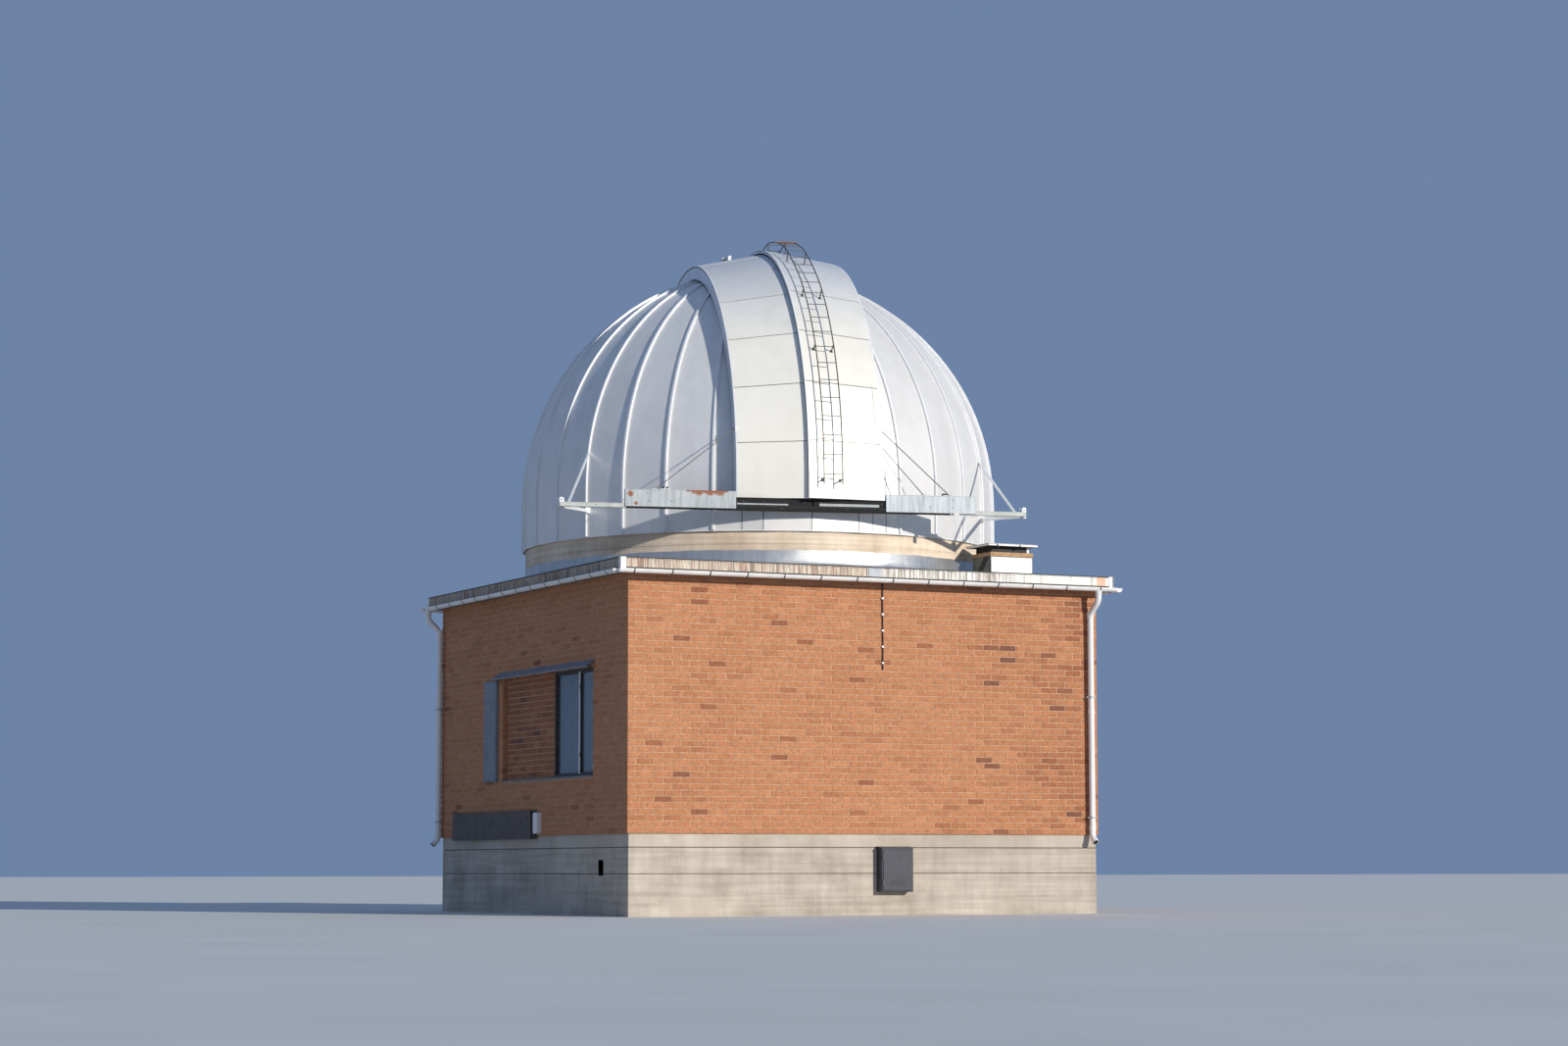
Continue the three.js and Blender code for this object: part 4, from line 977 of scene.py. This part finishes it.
def gore(k, tint):
    """The sheet between two ribs, flat across and cut off at the slit"""
    a, b = rib_angle(k), rib_angle(k + 1)
    rear = min(abs(cos(a)), abs(cos(b))) > cos(radians(25)) and cos(a) < 0

    def row(r, z):
        p, q = around(r, a, z), around(r, b, z)
        low, high = (v.y - SLIT_REAR if rear else abs(v.x) - SLIT for v in (p, q))
        if low <= 0 and high <= 0:
            return None
        t0 = 0.0 if low > 0 else -low / (high - low)
        t1 = 1.0 if high > 0 else low / (low - high)
        if (t1 - t0) * (q - p).length < 0.004:
            return None
        p, q = p.lerp(q, t0), p.lerp(q, t1)
        return [p.lerp(q, i / 3) for i in range(4)]

    outer, inner = [], []
    for r, z in rows_up(SKIRT_LOW, 89, 2.0):
        skin, under = row(r, z), row(r - SHELL_T * (r / DOME_R), z)
        if skin is None or under is None:
            break
        lift = Vector((0, 0, SHELL_T * max(0, (z - CENTRE_Z) / DOME_R)))
        outer.append(skin)
        inner.append([p - lift for p in under])
    slab(outer, inner, 0, tint)


def rib(k):
    a = rib_angle(k)
    side, level = Vector((cos(a), sin(a), 0)), around(1, a, 0)
    rear = abs(sin(a)) < 0.3 and cos(a) < 0
    w, h, cut = RIB_W / 2, RIB_H, 0.004
    section = [(-w, -0.012), (w, -0.012), (w, h - cut), (w - cut, h), (cut - w, h), (-w, h - cut)]
    loops = []
    for r, z in rows_up(SKIRT_LOW + RIB_FOOT, 78, 3.0):
        p = level * r + Vector((0, 0, z))
        if p.y < SLIT_REAR if rear else abs(p.x) < SLIT + 0.02:
            break
        normal = (level * r + Vector((0, 0, max(z - CENTRE_Z, 0)))) / DOME_R
        loops.append([p + side * u + normal * v for u, v in section])
    loft(loops, 1)


def flat_radius(angle):
    """Distance from the axis to the skirt, which is flat between the ribs' lines"""
    return DOME_R * cos(radians(BAY / 2)) / cos(radians(angle % BAY - BAY / 2))


def seam(angle, high, width, beside):
    """An upright strip on the skirt, and the line of shadow beside it"""
    strips = ((angle, 0.004, 0.004, width, 1), (angle + beside, 0.016, 0.001, width + 0.002, 2))
    for at, foot, out, w, kind in strips:
        a, r = radians(at), flat_radius(at)
        side, level = Vector((cos(a), sin(a), 0)) * w / 2, around(1, a, 0)
        loops = []
        for z in (SKIRT_LOW + foot, high):
            inner, outer = (Vector((0, 0, z)) + level * (r + d) for d in (-0.006, out))
            loops.append([inner - side, outer - side, outer + side, inner + side])
        loft(loops, kind, 0.6)


for k in range(1, RIBS - 1):
    gore(k, rng.uniform(0.42, 0.6))
for k in range(RIB_FREE, RIBS - RIB_FREE + 1):
    rib(k)
# Upright seams in the skirt, beside the ends of the slit
for angle in (-16.1, 15.1, 18.6):
    seam(angle, 6.7, 0.012, 0.2)
lip = [(-0.012, 0), (0.006, 0), (0.008, 0.014), (-0.012, 0.014)]
for k in range(RIBS):
    loft([[around(DOME_R + r, rib_angle(t), SKIRT_LOW + z) for r, z in lip] for t in (k, k + 1)], 1, 0.7)
nodes = ["dome_shell_left", "dome_shell_right", "dome_shell_rear"]
build("dome_skin_and_ribs", "dome_metal", [SKIN, RIB, SEAM_SHADOW], *nodes, body="dome")

# The skirt under the slit, in flat lengths with upright seams
bend = degrees(asin(SLIT / DOME_R))
y = -flat_radius(bend) * cos(radians(bend))
line = [around(DOME_R, radians(t), 0) for t in (-BAY, 0, BAY)]
line = [Vector((0.0005 - SLIT, y, 0)), *line, Vector((SLIT - 0.0005, y, 0))]
section = [(0, SKIRT_LOW), (0, PANEL_TOP), (SHELL_T, PANEL_TOP), (SHELL_T, SKIRT_LOW)]
for ends in zip(line, line[1:]):
    loft([[p + Vector((0, y, z)) for y, z in section] for p in ends], 0, rng.uniform(0.45, 0.6))
for t in (-BAY, 0, BAY):
    seam(t, PANEL_TOP, 0.014, 0.22)
build("skirt_under_slit", "dome_metal", [SKIN, RIB, SEAM_SHADOW], "dome_panel_front", body="dome")


# Shutters
def over(x, rho, angle):
    """A point at a distance from the level line across the dome, 0 degrees at the front"""
    a = radians(angle)
    return x, -rho * cos(a), CENTRE_Z + rho * sin(a)


def skin_of(side, offset=0.0):
    rise = (side["high"] - side["low"]) / (MEETING - side["edge"])
    return lambda x: side["low"] + rise * (x - side["edge"]) + offset


def foot(x):
    """How far out the shutters' side walls start, on a sphere under the skin"""
    return sqrt(SIDE_FOOT ** 2 - x * x)


def bent(x0, x1, inner, outer, start=None, end=SHUTTER_END, kind=0, tint=0.5, across=1, proud=0.0):
    """A sheet bent over the dome. A start of None is the level foot of the shutters. Its lower
    edge stands proud of it."""
    steps = max(1, round((end - (start or -4)) / 2.2))

    def at(skin, i, j):
        x = x0 + (x1 - x0) * j / across
        rho, first = skin(x), start
        if start is None:
            first = degrees(asin((SHUTTER_LOW - CENTRE_Z) / rho))
        return over(x, rho + proud * (1 - i / steps), first + (end - first) * i / steps)

    rows, cols = range(steps + 1), range(across + 1)
    slab(*([[at(skin, i, j) for j in cols] for i in rows] for skin in (outer, inner)), kind, tint)


def shutter_skin(side, x0, x1, upright=None):
    """The bent sheets of a shutter over a thin lining, painted dark as the shade in the gaps between sheets.
    An upright joint splits the second one.
    """
    outer, lining = skin_of(side, -0.001), skin_of(side, -0.009)
    bent(x0, x1, skin_of(side, -SKIN_T), lining, kind=2, tint=0.4)
    for i, (a, b) in enumerate(zip(SEAMS, SEAMS[1:])):
        start = a if a is None else a + 0.07
        spans = [(x0, upright - 0.003), (upright + 0.003, x1)] if upright and i == 1 else [(x0, x1)]
        for p, q in spans:
            bent(p, q, lining, outer, start, b - 0.07, 0, rng.uniform(0.46, 0.58), 2, PROUD)


def end_plates(side, x0, x1):
    """Closes a shutter's foot and its rear end"""
    under = skin_of(side, -SKIN_T * 0.5)
    places = [x0 + (x1 - x0) * j / 8 for j in range(9)]
    grids = []
    for z in (SHUTTER_LOW, SHUTTER_LOW + 0.012):
        drop = CENTRE_Z - z
        grids.append([[(x, -sqrt(f(x) ** 2 - drop ** 2), z) for f in (foot, under)] for x in places])
    slab(*grids, 1)
    bent(x0, x1, foot, under, SHUTTER_END - 0.25, kind=1, across=6)


def flank(side, toward):
    """An upright side wall, in lengths with a narrow raised strip at each joint"""
    x = side["edge"]
    across = lambda out: sorted((x - toward * out, x + toward * SIDE_T))
    for a, b in zip(SEAMS, SEAMS[1:]):
        start = a if a is None else a + 0.03
        bent(*across(0), foot, skin_of(side, -0.002), start, b - 0.03, 0, rng.uniform(0.44, 0.56))
    for a in SEAMS[1:-1]:
        bent(*across(0.003), foot, skin_of(side), a - 0.25, a + 0.25, 1)
    # A folded edge along the top of the wall, and the line of shadow under it
    bent(*across(0.006), skin_of(side, -0.018), skin_of(side, 0.002), kind=1, tint=0.6)
    bent(*across(0.002), skin_of(side, -0.036), skin_of(side, -0.018), kind=2)


SHEETS = [SHUTTER, RIB, SEAM_SHADOW, DARK]
x0, x1 = LEFT["edge"] + SIDE_T, MEETING + LAP
shutter_skin(LEFT, x0, x1)
end_plates(LEFT, x0, x1)
# A fitting near the top: place, half width, height, half length, material and tint
for x, a, w, h, arc, kind, tint in (
    (-0.66, 82.0, 0.06, 0.05, 1.1, 1, 0.6),
    (-0.62, 80.6, 0.025, 0.07, 1.1, 1, 0.6),
    (-0.70, 80.4, 0.02, 0.03, 0.25, 3, 0.5),
    (-0.60, 83.2, 0.02, 0.03, 0.25, 3, 0.5),
):
    bent(x - w, x + w, skin_of(LEFT), skin_of(LEFT, h), a - arc, a + arc, kind, tint)
nodes = ["shutter_left_lower", "shutter_left_upper"]
build("left_shutter_sheets", "dome_metal", SHEETS, *nodes, body="left_shutter")
flank(LEFT, 1)
SIDE_SHEETS = [FLANK, RIB, SEAM_SHADOW]
build("left_shutter_flank", "dome_metal", SIDE_SHEETS, "shutter_left_side", body="left_shutter")

x0, x1 = MEETING, RIGHT["edge"] - SIDE_T
shutter_skin(RIGHT, x0, x1, 0.965)
end_plates(RIGHT, MEETING + LAP + LAP_GAP + 0.002, x1)
# The wall at the meeting line, its foot over the left shutter painted dark as the shadow in the gap there,
# and its folded edge
rise = LAP_GAP + 0.014
bent(x0, x0 + 0.012, skin_of(LEFT, rise), skin_of(RIGHT, -0.002), kind=1, tint=0.6)
bent(x0, x0 + 0.012, skin_of(LEFT, LAP_GAP), skin_of(LEFT, rise), kind=3)
bent(x0 - 0.003, x0 + 0.015, skin_of(RIGHT, -0.012), skin_of(RIGHT, 0.003), kind=1, tint=0.6)
build("right_shutter_sheets", "dome_metal", SHEETS, "shutter_right", body="right_shutter")
flank(RIGHT, -1)
build("right_shutter_flank", "dome_metal", SIDE_SHEETS, "shutter_right_side", body="right_shutter")

# The front rail is a channel, painted black as shadow under the shutters
x0, x1 = RAIL_LEFT, RAIL_RIGHT
a, b = BOX_LEFT + 0.02, 2.1
for start, end, kind in ((x0, a, 0), (a, b, 4), (b, x1, 0)):
    for y0, y1, z0, z1, tint in (
        (-RAIL_OUT, -RAIL_IN, RAIL_LOW, RAIL_LOW + 0.012, 0.5),
        (-RAIL_OUT, -RAIL_IN, RAIL_TOP - 0.012, RAIL_TOP - 0.003, 0.5),
        (-RAIL_IN - 0.012, -RAIL_IN, RAIL_LOW, RAIL_TOP - 0.003, 0.45),
        (-RAIL_OUT, -RAIL_OUT + 0.008, RAIL_LOW + 0.012, RAIL_TOP - 0.012, 0.5),
    ):
        box((start, y0, z0), (end, y1, z1), kind, THIN, tint)
box((-3.56, -RAIL_OUT + 0.002, RAIL_TOP - 0.004), (-3.33, -RAIL_OUT + 0.05, RAIL_TOP), 1)
top = RAIL_TOP - 0.001
box((x0 + 0.06, -RAIL_OUT + 0.008, RAIL_TOP - 0.004), (x1 - 0.06, -RAIL_OUT + 0.05, top), 0, FINE)
# End stops with rounded tops
for x in (x0 + 0.03, x1 - 0.03):
    outline = [(x - 0.03, RAIL_LOW), (x + 0.03, RAIL_LOW)]
    for i in range(9):
        t = pi * i / 8
        outline.append((x + 0.03 * cos(t), RAIL_TOP + 0.04 + 0.03 * sin(t)))
    loft([[(px, y, pz) for px, pz in outline] for y in (-RAIL_OUT + 0.006, -RAIL_IN)], 2, 0.7)
    stud((x, -RAIL_OUT + 0.008, RAIL_TOP + 0.03), (0, -0.008, 0), 0.011, 3)
# Three brackets to the skin, each with two webs
for x in (-0.8, 0.0, 0.8):
    y = 0.02 - sqrt(DOME_R ** 2 - x * x)
    for a, b, z, bevel in ((-0.03, 0.03, 0.03, THIN), (-0.03, -0.024, 0.06, FINE), (0.024, 0.03, 0.06, FINE)):
        box((x + a, -RAIL_IN, RAIL_LOW + 0.02), (x + b, y, RAIL_LOW + z), 0, bevel)
for x in (-3.3, -2.4, -1.5, -0.5, 0.5, 1.5, 2.4):
    stud((x, -RAIL_OUT + 0.002, RAIL_LOW + 0.035), (0, -0.01, 0), 0.009, 3)
build("front_rail_channel", "galvanised", [RAIL, RUST, RIB, BOLT, PAINTED_SHADOW], "front_rail", body="dome")


# Struts
def bar_between(a, b, w, h, tint):
    """A square-edged bar from one point to another, w wide and h high"""
    a, b = Vector(a), Vector(b)
    along = (b - a).normalized()
    side = along.cross(Vector((0, 0, 1))).normalized() * w / 2
    up = side.cross(along).normalized() * h / 2
    loft([[p - side - up, p + side - up, p + side + up, p - side + up] for p in (a, b)], 0, tint)


def struts(name, sign, end):
    back, face = -RAIL_IN, -RAIL_IN + 0.012
    x, foot = end - sign * 0.03, end - sign * 0.14
    box((x - 0.05, back, RAIL_TOP - 0.09), (x + 0.05, face, RAIL_TOP + 0.06), 0, THIN, 0.6)
    for dx, dz in product((-0.03, 0.03), (-0.07, 0.04)):
        stud((x + dx, face, RAIL_TOP + dz), (0, 0.01, 0), 0.009)
    far = sign * 3.125
    bar_between((x, face, RAIL_TOP - 0.06), (far, -2.09, RAIL_TOP + 0.075), 0.045, 0.05, 0.75)
    bar_between((foot, face, RAIL_TOP - 0.02), (sign * 3.1, -2.09, 7.03), 0.028, 0.028, 0.6)
    box((foot - 0.03, back, RAIL_TOP - 0.07), (foot + 0.03, face, RAIL_TOP + 0.005), 0, THIN, 0.6)
    box((far - 0.04, -2.16, RAIL_TOP + 0.03), (far + 0.04, -2.05, RAIL_TOP + 0.12), 0, 0.003)
    build("strut_bars_" + name, "galvanised", [RIB, BOLT], "rail_struts_" + name, body="dome")


struts("left", -1, RAIL_LEFT)
struts("right", 1, RAIL_RIGHT)


# Carriages
def carriage(name, side, meet, box_end, fold, lit_strip, box_tint, braces):
    """The beam under a shutter's foot, and the deep box beside it, creased at a fold"""
    edge = side["edge"]
    out = copysign(1, edge)
    low, beam, high = RAIL_TOP + 0.005, SHUTTER_LOW - 0.001, SHUTTER_LOW + 0.085
    x0, x1 = sorted((meet, edge + out * 0.04))
    y = 0.015 - RAIL_OUT
    # The beam and the lip under the shutter's foot are painted black as shadow
    box((x0, y, low), (x1, 0.005 - RAIL_IN, beam), 3, 0.003)
    box((x0, y - 0.006, beam - 0.02), (x1, y, beam), 3, THIN, 0.62)
    # A light strip low on the beam's face: a painted sunlit part, while the rest of the beam is painted
    # shadow
    a, b, h = lit_strip
    box((a, y - 0.005, low + 0.012), (b, y, low + 0.012 + h), 0, FINE, 0.0)
    x = x0 + 0.12
    while x < x1 - 0.05:
        stud((x, y, low + 0.06), (0, -0.008, 0), 0.009)
        x += 0.31
    # The box over the rail: sheet panels with folded edges, and a lip before the rail
    x0, x1 = sorted((edge + out * 0.04, box_end))
    face, back, crease = -BOX_FACE, -RAIL_IN - 0.012, box_end - out * fold
    for p, q, inset in ((x0, crease, 0.004), (crease, x1, 0.002)):
        tint = box_tint + rng.uniform(-0.06, 0.06)
        box((p + 0.001, face + inset, low - 0.055), (q - 0.001, face + 0.012, high - 0.001), 0, THIN, tint)
        box((p + 0.001, face + 0.011, low), (q - 0.001, back, high - 0.004))
    box((x0, face, high - 0.006), (x1, back, high), 0, THIN, box_tint)
    box((crease - 0.004, face, low - 0.05), (crease + 0.004, face + 0.004, high), 0, FINE, 0.3)
    for dx, z in ((0.06, high - 0.06), (0.045, low + 0.03), (-0.3, low + 0.03)):
        stud((crease + out * dx, face + 0.003, z), (0, -0.003, 0), 0.01)
    # A tab hangs from the right box, and a bracket stands on the left one
    if out > 0:
        box((2.15, face, low - 0.19), (2.235, face + 0.004, low - 0.04), 4, FINE, 0.1)
        y = face + 0.03
        tube([(1.98, y, high), (1.98, y, high + 0.03), (2.05, y, high + 0.03)], 0.012, 8, 3)
    else:
        for x in (-2.3, -2.24):
            stud((x, face + 0.02, high), (0, 0, 0.045), 0.013, 3, 8)
        box((-2.34, face + 0.004, high), (-2.2, face + 0.06, high + 0.012), 2)
    y = back - 0.045
    for x, rise in braces:
        tube([(x, y, high - 0.005), (edge + out * 0.012, -3.745, rise)], 0.007, 8, 1)
        box((x - 0.05, y - 0.039, high), (x + 0.03, y + 0.039, high + 0.01), 2)
        for dx in (-0.035, 0.012):
            stud((x + dx, y, high + 0.008), (0, 0, 0.014), 0.011)
        p, q = sorted((edge + out * 0.003, edge + out * 0.011))
        box((p, -3.8, rise - 0.05), (q, -3.7, rise + 0.05), 2)
    materials = [BOX, BOLT, RIB, PAINTED_SHADOW, WHITE]
    build("carriage_case_" + name, "galvanised", materials, "carriage_" + name, body=name + "_shutter")


meet = MEETING + LAP
carriage("left", LEFT, meet, BOX_LEFT, 0.4, (-1.18, -0.4, 0.022), 0.14, [(-2.425, 7.245)])
braces = [(1.705, 7.05), (2.115, 7.29)]
carriage("right", RIGHT, meet + LAP_GAP, BOX_RIGHT, 0.42, (0.08, 1.0, 0.04), 0.5, braces)

# Ladder, bent over the right shutter
NEAR, FAR = 0.09, 0.375
START, END = -1, 96
LADDER_R = 4.24


def smooth(value, low, high):
    t = min(max((value - low) / (high - low), 0.0), 1.0)
    return t * t * (3 - 2 * t)


def ladder_radius(a):
    """It stands off a little at the crown and comes down to the shutter behind it"""
    crown = smooth(a, 58, 68) - smooth(a, 84, 90)
    return LADDER_R + 0.04 * crown - 0.125 * smooth(a, 88, END)


def on_ladder(x, a, out=0.0):
    return over(x, ladder_radius(a) + out, a)


for x in (NEAR, FAR):
    tube([on_ladder(x, START + (END - START) * i / 60) for i in range(61)], 0.0095)
pitch = degrees(0.3 / LADDER_R)
a = START + pitch / 2
while a < END:
    tube([on_ladder(NEAR - 0.006, a), on_ladder(FAR + 0.006, a)], 0.0065)
    a += pitch
for a, x in product((0, 30, 47, 65, 85), (NEAR, FAR)):
    tube([over(x, skin_of(RIGHT, -0.002)(x), a), on_ladder(x, a)], 0.01)
    bent(x - 0.02, x + 0.02, skin_of(RIGHT, -0.001), skin_of(RIGHT, 0.005), a - 0.3, a + 0.3, 1)
tube([on_ladder(NEAR - 0.03, 76, 0.012), on_ladder(FAR + 0.03, 76, 0.012)], 0.011, 8, 2)
build("ladder_tubes", "galvanised", [LADDER_METAL, DARK, RUST], "ladder", body="right_shutter")

# Materials of the pieces that stay as the frame has them
KEPT = {
    "roof_slab": ROOFING,
    "dome_track": DARK,
    "dome_base_ring": DARK,
    "slit_arch_left": ZINC,
    "slit_arch_right": ZINC,
    "rear_rail": RAIL,
    "rear_carriage_left": BOX,
    "rear_carriage_right": BOX,
}
for node, material in KEPT.items():
    mesh = frame["nodes"][node].data
    mesh.materials.clear()
    mesh.materials.append(material)

# Floor
mesh = bpy.data.meshes.new("floor")
corners = [(x, y, 0) for x, y in ((-300, -300), (300, -300), (300, 300), (-300, 300))]
mesh.from_pydata(corners, [], [[0, 1, 2, 3]])
ground = show("floor", mesh)
mesh.materials.append(plain("studio_floor", (210, 210, 207), (217, 217, 214), 0.4, 0.9))

# Light
world = bpy.data.worlds.new("studio")
world.use_nodes = True
sky = world.node_tree.nodes["Background"]
sky.inputs["Color"].default_value = rgba((164, 197, 248))
sky.inputs["Strength"].default_value = 0.41
bpy.context.scene.world = world
key = show("key_light", bpy.data.lights.new("key_light", "SUN"))
key.data.energy = 3.6
key.data.color = (1.0, 0.95, 0.865)
key.data.angle = radians(1.2)
key.matrix_world = Vector((0.333, -0.896, 0.292)).to_track_quat("Z", "Y").to_matrix().to_4x4()
bpy.context.scene.view_settings.view_transform = "Standard"

# The photograph's own view
yaw, pitch, roll = (radians(a) for a in (25.647, 5.901, 0.074))
look = Vector((sin(yaw) * cos(pitch), cos(yaw) * cos(pitch), sin(pitch)))
turn = look.to_track_quat("-Z", "Y").to_matrix().to_4x4() @ Matrix.Rotation(-roll, 4, "Z")
camera = show("camera", bpy.data.cameras.new("camera"))
camera.matrix_world = Matrix.Translation(AXIS + Vector((-22.857, -48.569, 0.677))) @ turn
camera.data.lens = 76.96
camera.data.sensor_width = 36
camera.data.clip_end = 500
bpy.context.scene.camera = camera
